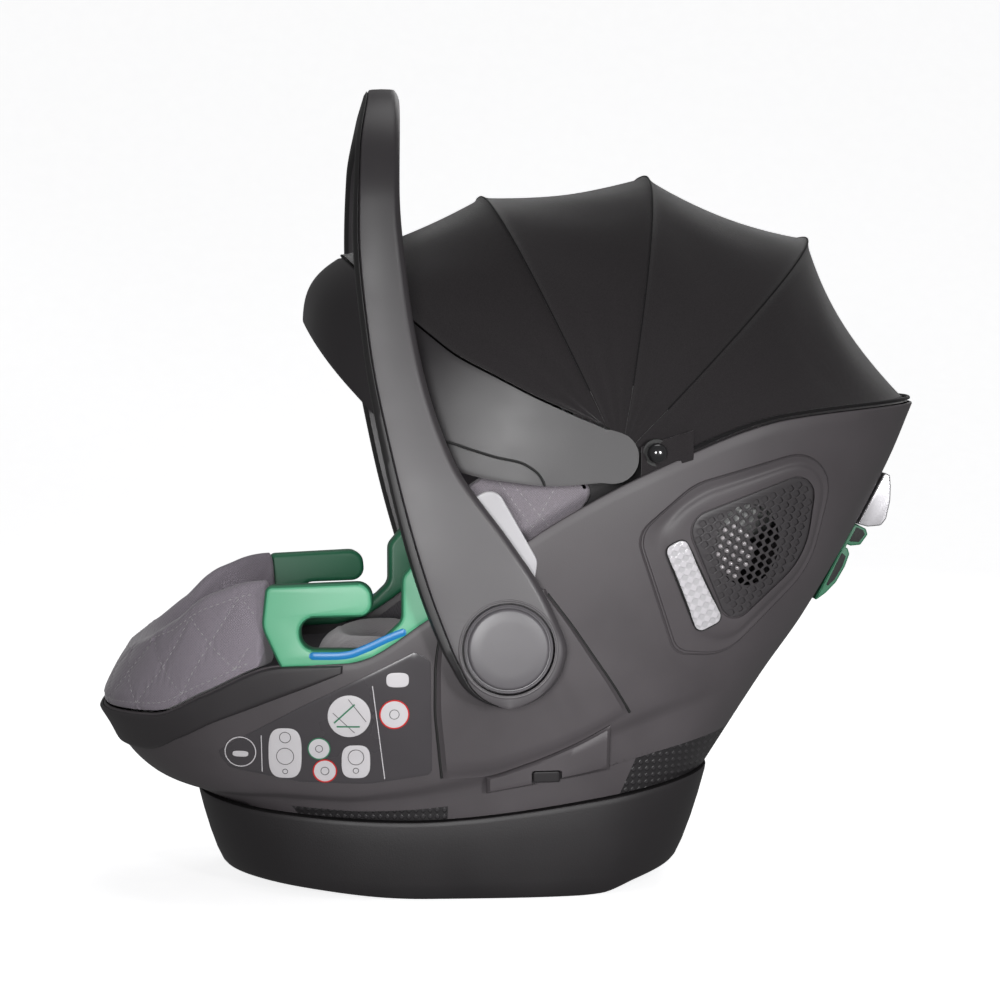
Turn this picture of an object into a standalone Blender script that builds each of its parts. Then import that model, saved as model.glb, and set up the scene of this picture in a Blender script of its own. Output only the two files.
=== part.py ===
"""Infant car seat: a bucket shell on a curved rocker, with a swinging carry handle and a folding canopy.

Metres, +Z up.  +X points to the head end and -Y is the child's left.  The origin is on the floor
under the middle of the seat.  Pieces named left or right are on the child's left or right.
"""
import math

import bmesh
import bpy
from mathutils import Euler, Matrix, Vector

GAP = 0.0005

# ---- driving dimensions -------------------------------------------------------------------
ROUNDNESS = 2.7                 # superellipse power of the shell seen from above
RIM_HALF_WIDTH = 0.194
KEEL_NARROWING = 0.036
WALL = 0.0032
STRIP_INSET = 0.005             # the textured strip under the side panels is set back this far

HUB = Vector((-0.013, 0.0, 0.208))
HUB_RADIUS = 0.0355
AXLE_RADIUS = 0.0085
AXLE_CLEARANCE = 0.0004
HANDLE_INNER_Y = 0.1985
HANDLE_OUTER_Y = 0.222
HANDLE_TOP_Z = 0.644
HANDLE_CORNER = 0.085
BUTTON_RADIUS = 0.0346
POCKET_FLOOR_Y = 0.2075
POCKET_LENGTH = 0.040

CANOPY = Vector((0.078, 0.0, 0.354))
CANOPY_HALF_WIDTH = 0.187
CANOPY_ROUNDNESS = 2.8
BOWS = (("front", 115.6, 0.2317, 0.1795), ("middle", 81.2, 0.2287, 0.1745), ("rear", 46.3, 0.2433, 0.1695))
BOW_WIRE = 0.0022
VISOR_REACH = 0.2695
WING_END_RADIUS = 0.018

RECLINE = math.radians(34.5)
HEADREST_LENGTH = 0.19

ROCKER_FLAT_FROM, ROCKER_FLAT_TO = -0.075, 0.050

# ---- colours: (red, green, blue), roughness, metallic ------------------------------------------
FINISHES = {
    "shell_plastic": ((0.035, 0.034, 0.036), 0.55, 0.0),
    "rocker_plastic": ((0.020, 0.019, 0.021), 0.60, 0.0),
    "handle_plastic": ((0.050, 0.049, 0.052), 0.50, 0.0),
    "visor_plastic": ((0.085, 0.083, 0.086), 0.50, 0.0),
    "white_plastic": ((0.62, 0.62, 0.64), 0.35, 0.0),
    "reflector_plastic": ((0.55, 0.55, 0.58), 0.25, 0.0),
    "green_plastic": ((0.035, 0.36, 0.14), 0.45, 0.0),
    "red_plastic": ((0.55, 0.02, 0.02), 0.40, 0.0),
    "silver_lever": ((0.50, 0.50, 0.52), 0.30, 0.6),
    "steel": ((0.60, 0.60, 0.62), 0.30, 1.0),
    "foam": ((0.70, 0.70, 0.70), 0.90, 0.0),
    "canopy_fabric": ((0.016, 0.015, 0.016), 0.90, 0.0),
    "grey_fabric": ((0.16, 0.15, 0.17), 0.90, 0.0),
    "insert_fabric": ((0.36, 0.34, 0.34), 0.90, 0.0),
    "webbing": ((0.05, 0.05, 0.055), 0.80, 0.0),
}


# ---- curves ---------------------------------------------------------------------------------
def mix(a, b, t):
    return a + (b - a) * t


def ease(x, start, end):
    """0 before start, 1 after end, smooth in between."""
    t = min(max((x - start) / (end - start), 0.0), 1.0)
    return t * t * (3.0 - 2.0 * t)


def smooth_curve(points):
    """Return f(x), a smooth curve through the points that never overshoots them."""
    xs = [p[0] for p in points]
    ys = [p[1] for p in points]
    steps = [(ys[i + 1] - ys[i]) / (xs[i + 1] - xs[i]) for i in range(len(xs) - 1)]
    slopes = [steps[0]]
    for before, after in zip(steps, steps[1:]):
        slopes.append(2.0 * before * after / (before + after) if before * after > 0.0 else 0.0)
    slopes.append(steps[-1])

    def value(x):
        x = min(max(x, xs[0]), xs[-1])
        i = max(k for k in range(len(xs) - 1) if xs[k] <= x)
        width = xs[i + 1] - xs[i]
        t = (x - xs[i]) / width
        rise = (1 + 2 * t) * (1 - t) ** 2 * ys[i] + t * t * (3 - 2 * t) * ys[i + 1]
        lean = t * (1 - t) ** 2 * slopes[i] + t * t * (t - 1) * slopes[i + 1]
        return rise + lean * width

    return value


def rounded_outline(corners, steps=4):
    """Close an outline of (x, z, radius) corners, each turned with a round of that radius."""
    outline = []
    for i, (x, z, radius) in enumerate(corners):
        here = Vector((x, z))
        back = (Vector(corners[i - 1][:2]) - here).normalized()
        onward = (Vector(corners[(i + 1) % len(corners)][:2]) - here).normalized()
        half = back.angle(onward) / 2
        reach = radius / math.tan(half)
        centre = here + (back + onward).normalized() * (radius / math.sin(half))
        if radius == 0.0:
            outline.append(here)
            continue
        start = (here + back * reach - centre).normalized()
        end = (here + onward * reach - centre).normalized()
        for k in range(steps + 1):
            outline.append(centre + start.slerp(end, k / steps) * radius)
    return outline


# Side view: where the shell's rim and keel run, and its foot and head ends from rim (0) to keel (1).
RIM_LINE = smooth_curve([(-0.340, 0.146), (-0.290, 0.148), (-0.250, 0.166), (-0.190, 0.191), (-0.135, 0.193),
                         (-0.073, 0.228), (0.006, 0.290), (0.106, 0.344), (0.213, 0.382), (0.339, 0.394)])
KEEL_LINE = smooth_curve([(-0.262, 0.080), (-0.198, 0.071), (-0.086, 0.065), (0.066, 0.080), (0.165, 0.097)])
FOOT_LINE = smooth_curve([(0.0, -0.336), (0.20, -0.3275), (0.48, -0.317), (0.77, -0.297), (1.0, -0.262)])
HEAD_LINE = smooth_curve([(0.0, 0.339), (0.157, 0.322), (0.583, 0.251), (0.743, 0.217), (1.0, 0.165)])


def shell_height(along, depth):
    rim = RIM_LINE(mix(FOOT_LINE(0), HEAD_LINE(0), along))
    keel = KEEL_LINE(mix(FOOT_LINE(1), HEAD_LINE(1), along))
    return mix(rim, keel, depth)


def half_width(depth):
    return RIM_HALF_WIDTH - KEEL_NARROWING * depth ** 1.6


def plan(angle, power=ROUNDNESS):
    """A point on the unit superellipse, from the head end (angle 0) round by the child's right."""
    c, s = math.cos(angle), math.sin(angle)
    return math.copysign(abs(c) ** (2 / power), c), math.copysign(abs(s) ** (2 / power), s)


def shell_point(angle, depth, offset=0.0, lift=0.0):
    """A point on the shell's outside, moved outwards by offset and up by lift."""
    along_x, along_y = plan(angle)
    foot, head = FOOT_LINE(depth), HEAD_LINE(depth)
    x = mix(foot - offset, head + offset, (1 + along_x) / 2)
    along = min(max((x - foot) / (head - foot), 0.0), 1.0)
    return Vector((x, along_y * (half_width(depth) + offset), shell_height(along, depth) + lift))


def shell_normal(angle):
    """The direction out from the rim, seen from above."""
    along = shell_point(angle + 0.02, 0.0) - shell_point(angle - 0.02, 0.0)
    return Vector((along.y, -along.x, 0.0)).normalized()


def side_y(x, z):
    """Half width of the shell's outside at a place in the side view."""
    low, high = -0.3, 1.0
    for _ in range(30):
        depth = (low + high) / 2
        held = max(depth, 0.0)
        along = min(max((x - FOOT_LINE(held)) / (HEAD_LINE(held) - FOOT_LINE(held)), 0.0), 1.0)
        if shell_height(along, depth) > z:
            low = depth
        else:
            high = depth
    across = min(abs(2 * along - 1), 0.999)
    return half_width(held) * (1 - across ** ROUNDNESS) ** (1 / ROUNDNESS)


# ---- building pieces ------------------------------------------------------------------------
parts = bpy.data.collections.new("infant_car_seat")
cutters = bpy.data.collections.new("cutters")
ACROSS = Euler((math.radians(-90), 0.0, 0.0))       # turns a piece made along Z to lie along Y
SHARP_ANGLE = math.radians(35)
WELD = 0.00001


def clear_scene():
    for obj in list(bpy.data.objects):
        bpy.data.objects.remove(obj, do_unlink=True)
    for collection in (parts, cutters):
        bpy.context.scene.collection.children.link(collection)


def material_for(piece, finish):
    """Each piece has its own material, named for the piece."""
    colour, roughness, metallic = FINISHES[finish]
    material = bpy.data.materials.new(piece)
    material.use_nodes = True
    shader = material.node_tree.nodes["Principled BSDF"]
    shader.inputs["Base Color"].default_value = (*colour, 1.0)
    shader.inputs["Roughness"].default_value = roughness
    shader.inputs["Metallic"].default_value = metallic
    return material


def pivot_empty(name, place):
    empty = bpy.data.objects.new(name, None)
    empty.location = place
    parts.objects.link(empty)
    return empty


def put_piece(name, data, finish, pivot=None, place=Vector(), turn=Euler()):
    """Name a mesh or curve as a piece, and hang it from its pivot if it moves."""
    data.materials.append(material_for(name, finish))
    obj = bpy.data.objects.new(name, data)
    obj.location = place
    obj.rotation_euler = turn
    parts.objects.link(obj)
    if pivot is not None:
        obj.parent = pivot
        obj.location = place - pivot.location
    return obj


def mesh_of(name, form):
    """Close a bmesh, turn its faces out and give it its name."""
    bmesh.ops.remove_doubles(form, verts=form.verts, dist=WELD)
    bmesh.ops.recalc_face_normals(form, faces=form.faces)
    mesh = bpy.data.meshes.new(name)
    form.to_mesh(mesh)
    form.free()
    mesh.shade_smooth()
    mesh.set_sharp_from_angle(angle=SHARP_ANGLE)
    return mesh


def skin(points, faces):
    form = bmesh.new()
    verts = [form.verts.new(p) for p in points]
    for face in faces:
        form.faces.new([verts[k] for k in face])
    return form


def centre_of(points):
    return sum((p.to_3d() for p in points), Vector()) / len(points)


def loft(rings, wrap=False):
    """Skin a row of equal rings.  The ends meet if wrap is set, and are closed by fans if not."""
    count = len(rings[0])
    points = [p for ring in rings for p in ring]
    faces = []
    for r in range(len(rings) if wrap else len(rings) - 1):
        lower, upper = r * count, (r + 1) % len(rings) * count
        for k in range(count):
            n = (k + 1) % count
            faces.append((lower + k, lower + n, upper + n, upper + k))
    if not wrap:
        for first, ring in ((0, rings[0]), ((len(rings) - 1) * count, rings[-1])):
            points.append(centre_of(ring))
            faces += [(first + k, first + (k + 1) % count, len(points) - 1) for k in range(count)]
    return skin(points, faces)


def slab(front, back):
    """Close the space between two equal grids of points."""
    rows, columns = len(front), len(front[0])
    size = rows * columns
    points = [p for row in front for p in row] + [p for row in back for p in row]
    faces = []
    for r in range(rows - 1):
        for c in range(columns - 1):
            a = r * columns + c
            quad = (a, a + 1, a + columns + 1, a + columns)
            faces.append(quad)
            faces.append(tuple(size + q for q in reversed(quad)))
    edge = list(range(columns))
    edge += [r * columns + columns - 1 for r in range(1, rows)]
    edge += [(rows - 1) * columns + c for c in range(columns - 2, -1, -1)]
    edge += [r * columns for r in range(rows - 2, 0, -1)]
    for a, b in zip(edge, edge[1:] + edge[:1]):
        faces.append((a, b, size + b, size + a))
    return skin(points, faces)


def side_plate(outline, inside, outside, side, rings=(0.5, 0.8, 1.0)):
    """A plate of that outline in the side view, lying between two surfaces |y| = f(x, z)."""
    centre = centre_of(outline).to_2d()
    levels = [[mix(centre, p, share) for p in outline] for share in rings]
    faced = []
    for surface in (outside, inside):
        faced.append([[Vector((p.x, side * surface(p.x, p.y), p.y)) for p in level] for level in levels])
    return loft(faced[0] + faced[1][::-1])


def solid(name, form, finish, pivot=None):
    """A piece modelled where it lies in the seat.  Its origin goes to its pivot if it moves."""
    place = pivot.location.copy() if pivot is not None else Vector()
    bmesh.ops.translate(form, vec=-place, verts=form.verts)
    return put_piece(name, mesh_of(name, form), finish, pivot, place)


def rod(radius, length, sides):
    """A round bar along Z about the origin."""
    form = bmesh.new()
    bmesh.ops.create_cone(form, cap_ends=True, segments=sides, radius1=radius, radius2=radius, depth=length)
    return form


def box(size):
    form = bmesh.new()
    bmesh.ops.create_cube(form, size=1.0, matrix=Matrix.Diagonal((*size, 1.0)))
    return form


def path_curve(name, points, wire):
    """A POLY curve through the points, bevelled to a round wire."""
    curve = bpy.data.curves.new(name, "CURVE")
    curve.dimensions = "3D"
    curve.bevel_depth = wire
    curve.bevel_resolution = 1
    curve.use_fill_caps = True
    spline = curve.splines.new("POLY")
    spline.points.add(len(points) - 1)
    for point, place in zip(spline.points, points):
        point.co = (*place, 1.0)
    return curve


def plate(outline, thickness):
    """A flat outline in its own XY plane, of that thickness."""
    curve = bpy.data.curves.new("outline", "CURVE")
    curve.dimensions = "2D"
    curve.fill_mode = "BOTH"
    curve.extrude = thickness / 2
    spline = curve.splines.new("POLY")
    spline.points.add(len(outline) - 1)
    for point, (u, v) in zip(spline.points, outline):
        point.co = (u, v, 0.0, 1.0)
    spline.use_cyclic_u = True
    holder = bpy.data.objects.new("outline", curve)
    mesh = bpy.data.meshes.new_from_object(holder)
    form = bmesh.new()
    form.from_mesh(mesh)
    bpy.data.meshes.remove(mesh)
    bpy.data.objects.remove(holder)
    bpy.data.curves.remove(curve)
    return form


def soften(obj, width, segments=2):
    bevel = obj.modifiers.new("soft_edges", "BEVEL")
    bevel.width = width
    bevel.segments = segments
    bevel.limit_method = "ANGLE"
    bevel.angle_limit = math.radians(40)


def cutter(name, form, place=Vector(), turn=Euler()):
    obj = bpy.data.objects.new(name, mesh_of(name, form))
    obj.location = place
    obj.rotation_euler = turn
    obj.hide_render = True
    obj.display_type = "WIRE"
    cutters.objects.link(obj)
    return obj


def cut(obj, tool):
    boolean = obj.modifiers.new("cut_" + tool.name, "BOOLEAN")
    boolean.operation = "DIFFERENCE"
    boolean.solver = "EXACT"
    boolean.object = tool


SIDES = (("left", -1), ("right", 1))


# ---- shell, bumper and rocker ------------------------------------------------------------------
SHELL_COLUMNS = 44
SHELL_CENTRE = Vector((-0.050, 0.0, 0.066))
PANEL_DEPTHS = (0.0, 0.10, 0.24, 0.40, 0.56, 0.70)      # rows of points on the side panels
INNER_PANEL_DEPTHS = (0.0, 0.24, 0.56)
INNER_STRIP_DEPTHS = (0.70, 0.97)
STEP_DEPTH = 0.012                                      # depth taken by the step under the side panels
FLOOR_SHARE = 0.35                                      # how far the floor's inner ring is drawn in


def crease_depth(angle):
    """Depth of the side panels' lower edge, which rises towards the head end."""
    along = (1 + plan(angle)[0]) / 2
    return 0.85 - 0.12 * ease(along, 0.50, 0.95)


def shell_ring(depth, offset=0.0, lift=0.0, count=SHELL_COLUMNS):
    ring = []
    for k in range(count):
        angle = 2 * math.pi * (k + 0.5) / count
        level = depth(angle) if callable(depth) else depth
        ring.append(shell_point(angle, level, offset, lift))
    return ring


def shrink(ring, share, lift=0.0):
    """Draw a ring in towards the middle of the floor."""
    centre = SHELL_CENTRE
    drawn = []
    for p in ring:
        x = mix(p.x, centre.x, share)
        drawn.append(Vector((x, mix(p.y, centre.y, share), mix(p.z, KEEL_LINE(x) + lift, share))))
    return drawn


def build_shell():
    outside = [shell_ring(d) for d in PANEL_DEPTHS]
    outside.append(shell_ring(crease_depth))
    outside.append(shell_ring(lambda a: crease_depth(a) + STEP_DEPTH, -STRIP_INSET))
    outside.append(shell_ring(1.0, -STRIP_INSET))
    outside.append(shrink(outside[-1], FLOOR_SHARE))
    inside = [shell_ring(d, -WALL) for d in INNER_PANEL_DEPTHS]
    inside += [shell_ring(d, -STRIP_INSET - WALL) for d in INNER_STRIP_DEPTHS]
    inside.append(shrink(inside[-1], FLOOR_SHARE, WALL))
    return solid("shell", loft(outside[::-1] + inside), "shell_plastic")


BUMPER_DEPTH = smooth_curve([(-0.340, 0.45), (-0.290, 0.40), (-0.250, 0.32), (-0.176, 0.20), (-0.139, 0.04)])
BUMPER_END_X = -0.140
BUMPER_SECTION = ((0.0, 0.0022), (0.15, 0.0042), (0.85, 0.0042), (1.0, 0.0022))   # (share, proud)
BUMPER_BACK = 0.0014


def foot_angles(end_x, count):
    """Angles from the child's right at end_x, round the foot end, to the child's left."""
    low, high = 0.2, math.pi
    for _ in range(40):
        middle = (low + high) / 2
        if shell_point(middle, 0.0).x > end_x:
            low = middle
        else:
            high = middle
    return [mix(low, 2 * math.pi - low, k / count) for k in range(count + 1)]


def build_bumper():
    front, back = [], []
    for angle in foot_angles(BUMPER_END_X, 22):
        deepest = BUMPER_DEPTH(shell_point(angle, 0.0).x)
        front.append([shell_point(angle, deepest * share, proud) for share, proud in BUMPER_SECTION])
        back.append([shell_point(angle, deepest * share, BUMPER_BACK) for share, _ in BUMPER_SECTION])
    solid("foot_bumper", slab(front, back), "shell_plastic")


ROCKER_LINE = smooth_curve([(-0.240, 0.016), (-0.174, 0.008), (ROCKER_FLAT_FROM - 0.02, 0.0005),
                            (ROCKER_FLAT_FROM, 0.0), (ROCKER_FLAT_TO, 0.0), (ROCKER_FLAT_TO + 0.02, 0.0008),
                            (0.098, 0.009), (0.142, 0.020)])
ROCKER_TOP_ENDS = (-0.258, 0.168)
ROCKER_BOTTOM_ENDS = (-0.238, 0.140)
ROCKER_TOP_HALF_WIDTH = 0.1575
ROCKER_BOTTOM_HALF_WIDTH = 0.146
ROCKER_LIP = 0.012
ROCKER_COLUMNS = 36


def rocker_ring(share, inset, lift):
    """A ring of the rocker from its top (share 0) to its runner (share 1)."""
    ring = []
    foot = mix(ROCKER_TOP_ENDS[0], ROCKER_BOTTOM_ENDS[0], share)
    head = mix(ROCKER_TOP_ENDS[1], ROCKER_BOTTOM_ENDS[1], share)
    wide = mix(ROCKER_TOP_HALF_WIDTH, ROCKER_BOTTOM_HALF_WIDTH, share)
    for k in range(ROCKER_COLUMNS):
        along_x, along_y = plan(2 * math.pi * (k + 0.5) / ROCKER_COLUMNS, 3.0)
        along = (1 + along_x) / 2
        x = mix(foot + inset, head - inset, along)
        top = KEEL_LINE(x) - 0.0015
        runner = ROCKER_LINE(mix(ROCKER_BOTTOM_ENDS[0], ROCKER_BOTTOM_ENDS[1], along))
        ring.append(Vector((x, along_y * (wide - inset), mix(top, runner, share) + lift)))
    return ring


def build_rocker():
    rings = [rocker_ring(0.0, 0.0, 0.0), rocker_ring(0.5, -0.001, 0.0), rocker_ring(1.0, 0.0, 0.0),
             rocker_ring(1.0, ROCKER_LIP, 0.0), rocker_ring(1.0, ROCKER_LIP, 0.004),
             rocker_ring(0.9, 0.005, 0.0), rocker_ring(0.0, 0.005, -0.006),
             rocker_ring(0.0, 0.022, -0.006), rocker_ring(0.0, 0.022, -0.0005)]
    solid("rocker_base", loft(rings, wrap=True), "rocker_plastic")


# ---- pieces on the shell's sides ---------------------------------------------------------------
COVER_LEFT = smooth_curve([(0.100, -0.062), (0.127, -0.065), (0.160, -0.068), (0.185, -0.068),
                           (0.250, -0.058)])
COVER_RIGHT = smooth_curve([(0.150, 0.088), (0.174, 0.073), (0.197, 0.057), (0.220, 0.041), (0.250, 0.018)])
COVER_BOTTOM = smooth_curve([(-0.062, 0.100), (-0.030, 0.102), (0.005, 0.112), (0.043, 0.127),
                             (0.088, 0.151)])
COVER_TOP_Z = 0.252
COVER_FACE_Y = 0.1966
COVER_EDGE, COVER_SWELL = 0.002, 0.0095                 # how proud the boss is at its edges and its middle


def build_side_cover(side_name, side):
    """The fan-shaped boss that carries the handle hub."""
    front, back = [], []
    rows, columns = 7, 9
    for r in range(rows):
        up = r / (rows - 1)
        front.append([])
        back.append([])
        for c in range(columns):
            across = c / (columns - 1)
            foot_z = COVER_BOTTOM(mix(-0.062, 0.088, across))
            z = mix(foot_z, COVER_TOP_Z, up)
            x = mix(COVER_LEFT(z), COVER_RIGHT(z), across)
            edge = min(across, 1 - across) * 2
            swell = mix(COVER_EDGE, COVER_SWELL, ease(edge, 0.0, 0.35)) * mix(0.75, 1.0, ease(up, 0.0, 0.15))
            under = side_y(x, z) + GAP
            front[-1].append(Vector((x, side * min(under + swell, COVER_FACE_Y), z)))
            back[-1].append(Vector((x, side * under, z)))
    return solid("side_cover_" + side_name, slab(front, back), "shell_plastic")


ADAPTER_FROM, ADAPTER_TO = -0.027, 0.064
ADAPTER_FOOT = smooth_curve([(-0.027, 0.088), (0.064, 0.103)])
ADAPTER_PROUD = 0.0065
LATCH_CENTRE = Vector((0.021, 0.0, 0.1005))
LATCH_SIZE = Vector((0.022, 0.0, 0.009))
LATCH_PROUD = 0.0085


def build_adapter(side_name, side, pivot):
    """The socket that drops on to a base or a stroller adapter, and the latch inside it."""
    front, back = [], []
    for k in range(7):
        x = mix(ADAPTER_FROM, ADAPTER_TO, k / 6)
        levels = [mix(ADAPTER_FOOT(x), COVER_BOTTOM(x) - 2 * GAP, r / 3) for r in range(4)]
        front.append([Vector((x, side * (side_y(x, z) + ADAPTER_PROUD), z)) for z in levels])
        back.append([Vector((x, side * (side_y(x, z) + GAP), z)) for z in levels])
    socket = solid("adapter_socket_" + side_name, slab(front, back), "shell_plastic")
    hole = box(LATCH_SIZE + Vector((2 * GAP, 0.06, 2 * GAP)))
    cut(socket, cutter("latch_hole_" + side_name, hole, LATCH_CENTRE + Vector((0.0, side * 0.16, 0.0))))
    half_x, half_z = LATCH_SIZE.x / 2, LATCH_SIZE.z / 2
    outline = [LATCH_CENTRE.xz + Vector(corner) for corner in
               ((-half_x, -half_z), (half_x, -half_z), (half_x, half_z), (-half_x, half_z))]
    latch = side_plate(outline, lambda x, z: side_y(x, z) + GAP, lambda x, z: side_y(x, z) + LATCH_PROUD,
                       side, (1.0,))
    solid("adapter_latch_" + side_name, latch, "rocker_plastic", pivot)


VENT_RECESS = rounded_outline([(0.095, 0.314, 0.030), (0.262, 0.362, 0.026), (0.236, 0.262, 0.070),
                               (0.166, 0.196, 0.040), (0.127, 0.197, 0.014)], 4)
VENT_GRILLE = rounded_outline([(0.128, 0.305, 0.016), (0.238, 0.345, 0.016), (0.232, 0.272, 0.060),
                               (0.168, 0.216, 0.014)], 4)
REFLECTOR = rounded_outline([(0.112, 0.283, 0.006), (0.128, 0.291, 0.006), (0.162, 0.224, 0.006),
                             (0.141, 0.214, 0.006)], 3)


def around(outline, centre, count=24):
    """Sample an outline at even turns about a centre inside it."""
    ring = []
    for k in range(count):
        turn = 2 * math.pi * k / count
        ray = Vector((math.cos(turn), math.sin(turn)))
        best = 0.0
        for a, b in zip(outline, outline[1:] + outline[:1]):
            edge = b - a
            cross = ray.x * edge.y - ray.y * edge.x
            if abs(cross) < 1e-12:
                continue
            gap = a - centre
            reach = (gap.x * edge.y - gap.y * edge.x) / cross
            share = (gap.x * ray.y - gap.y * ray.x) / cross
            if reach > 0.0 and -1e-9 <= share <= 1 + 1e-9:
                best = max(best, reach)
        ring.append(centre + ray * best)
    return ring


PANEL_PROUD = 0.0022
VENT_PLATES = (("vent_grille_", "rocker_plastic", -0.0025, 0.0012),
               ("reflector_", "reflector_plastic", 0.0039, 0.0054))


def build_vent(side_name, side):
    """The vent's raised surround, the grille in it and the reflector strip beside it."""
    centre = centre_of(VENT_GRILLE).to_2d()
    hole = around(VENT_GRILLE, centre)
    rim = around(VENT_RECESS, centre)
    levels = [[mix(a, b, share) for a, b in zip(hole, rim)] for share in (0.0, 0.5, 1.0)]
    faced = []
    for proud in (PANEL_PROUD, GAP):
        faced.append([[Vector((p.x, side * (side_y(p.x, p.y) + proud), p.y)) for p in level]
                      for level in levels])
    solid("vent_panel_" + side_name, loft(faced[0] + faced[1][::-1], wrap=True), "shell_plastic")
    inner = [mix(centre, p, 0.982) for p in hole]
    for outline, (name, finish, low, high) in zip((inner, REFLECTOR), VENT_PLATES):
        plate = side_plate(outline, lambda x, z: side_y(x, z) + low, lambda x, z: side_y(x, z) + high, side)
        solid(name + side_name, plate, finish)


def vent_cutter():
    """A straight way in through both vents."""
    ring = around(VENT_GRILLE, centre_of(VENT_GRILLE).to_2d())
    rings = [[Vector((p.x, y, p.y)) for p in ring] for y in (-0.3, 0.3)]
    return cutter("vent_openings", loft(rings))


GUIDE_TURN = math.radians(5.6)
GUIDE_OUTER_Y = 0.1925
GUIDE_THICKNESS = 0.020
GUIDE_LIFT = 0.0045
GUIDE_HINGE_X = -0.070


def guide_outline():
    """The lap-belt guide: an arm over a slot that is open towards the head end, and a horn behind."""
    corners = [(-0.201, 0.253, 0.004), (-0.114, 0.258, 0.012), (-0.112, 0.2305, 0.011),
               (-0.174, 0.229, 0.011), (-0.172, 0.205, 0.0115), (-0.118, 0.205, 0.030),
               (-0.094, 0.228, 0.010), (-0.094, 0.262, 0.010),
               (-0.074, 0.286, 0.003), (-0.060, 0.262, 0.003)]
    foot = [(x, RIM_LINE(x) + GUIDE_LIFT, 0.0)
            for x in (-0.064, -0.078, -0.095, -0.115, -0.140, -0.170, -0.196)]
    return rounded_outline(corners + foot, 3)


def build_belt_guide(side_name, side):
    """The green lap-belt guide on the shell's rim."""
    outline = [p - Vector((GUIDE_HINGE_X, 0.0)) for p in guide_outline()]
    mesh = mesh_of("belt_guide_" + side_name, plate(outline, GUIDE_THICKNESS))
    place = Vector((GUIDE_HINGE_X, side * (GUIDE_OUTER_Y - GUIDE_THICKNESS / 2), 0.0))
    turn = Euler((math.radians(90), 0.0, side * GUIDE_TURN))
    put_piece(mesh.name, mesh, "green_plastic", place=place, turn=turn)


SIDE_PLATE = rounded_outline([(-0.062, 0.259, 0.004), (-0.050, 0.325, 0.012), (-0.020, 0.335, 0.014),
                              (0.014, 0.281, 0.016), (0.010, 0.259, 0.004)], 3)
SIDE_PLATE_Y = 0.19585
SIDE_PLATE_THICKNESS = 0.0027


def build_side_plate(side_name, side):
    """The smooth pale plate between the shell's rim and the handle."""
    mesh = mesh_of("side_plate_" + side_name, plate(SIDE_PLATE, SIDE_PLATE_THICKNESS))
    place = Vector((0.0, side * SIDE_PLATE_Y, 0.0))
    put_piece(mesh.name, mesh, "white_plastic", place=place, turn=Euler((math.radians(90), 0.0, 0.0)))


# ---- pieces on the back ------------------------------------------------------------------------
# Their profiles are (up the back, out from it) from BACK_FOOT, and they run straight across the seat.
BACK_FOOT = Vector((0.251, 0.0, 0.208))
BACK_UP = Vector((0.463, 0.0, 0.886))
BACK_OUT = Vector((0.886, 0.0, -0.463))
BELT_HOOK = ((0.004, 0.003), (0.010, 0.008), (0.026, 0.013), (0.042, 0.013), (0.046, 0.010), (0.046, 0.005),
             (0.056, 0.005), (0.056, 0.010), (0.062, 0.014), (0.078, 0.013), (0.086, 0.008), (0.086, 0.003))
BELT_HOOK_WIDTH = 0.070
LEVER = ((0.096, 0.003), (0.096, 0.011), (0.102, 0.016), (0.128, 0.015), (0.143, 0.010), (0.147, 0.003),
         (0.142, 0.003), (0.140, 0.007), (0.127, 0.011), (0.104, 0.012), (0.101, 0.009), (0.101, 0.003))
LEVER_WIDTH = 0.090


def build_back(lever_pivot):
    """The shoulder-belt guide and the release lever."""
    turn = Matrix((BACK_UP, BACK_OUT, (0.0, 1.0, 0.0))).transposed().to_euler()
    hook = mesh_of("shoulder_belt_guide", plate(BELT_HOOK, BELT_HOOK_WIDTH))
    put_piece(hook.name, hook, "green_plastic", place=BACK_FOOT, turn=turn)
    lever = mesh_of("release_lever", plate(LEVER, LEVER_WIDTH))
    put_piece(lever.name, lever, "silver_lever", lever_pivot, BACK_FOOT, turn)


# ---- handle ------------------------------------------------------------------------------------
HANDLE_FRONT_EDGE = smooth_curve([(0.162, -0.018), (0.1635, -0.0248), (0.165, -0.0293), (0.1695, -0.0382),
                                  (0.178, -0.0479), (0.192, -0.0563), (0.208, -0.065), (0.264, -0.086),
                                  (0.354, -0.109), (0.445, -0.125), (0.530, -0.132), (0.590, -0.130),
                                  (0.635, -0.122)])
HANDLE_BACK_EDGE = smooth_curve([(0.162, -0.008), (0.1635, -0.0012), (0.165, 0.0033), (0.1695, 0.0122),
                                 (0.178, 0.0219), (0.192, 0.0301), (0.206, 0.033), (0.230, 0.025),
                                 (0.258, 0.011), (0.292, -0.012), (0.354, -0.055), (0.426, -0.079),
                                 (0.491, -0.090), (0.562, -0.096), (0.635, -0.094)])
HANDLE_ARM_STATIONS = (0.1622, 0.1650, 0.1695, 0.178, 0.192, 0.208, 0.233, 0.264, 0.300, 0.354, 0.420, 0.500)
HANDLE_CROWN = 0.0105


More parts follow.
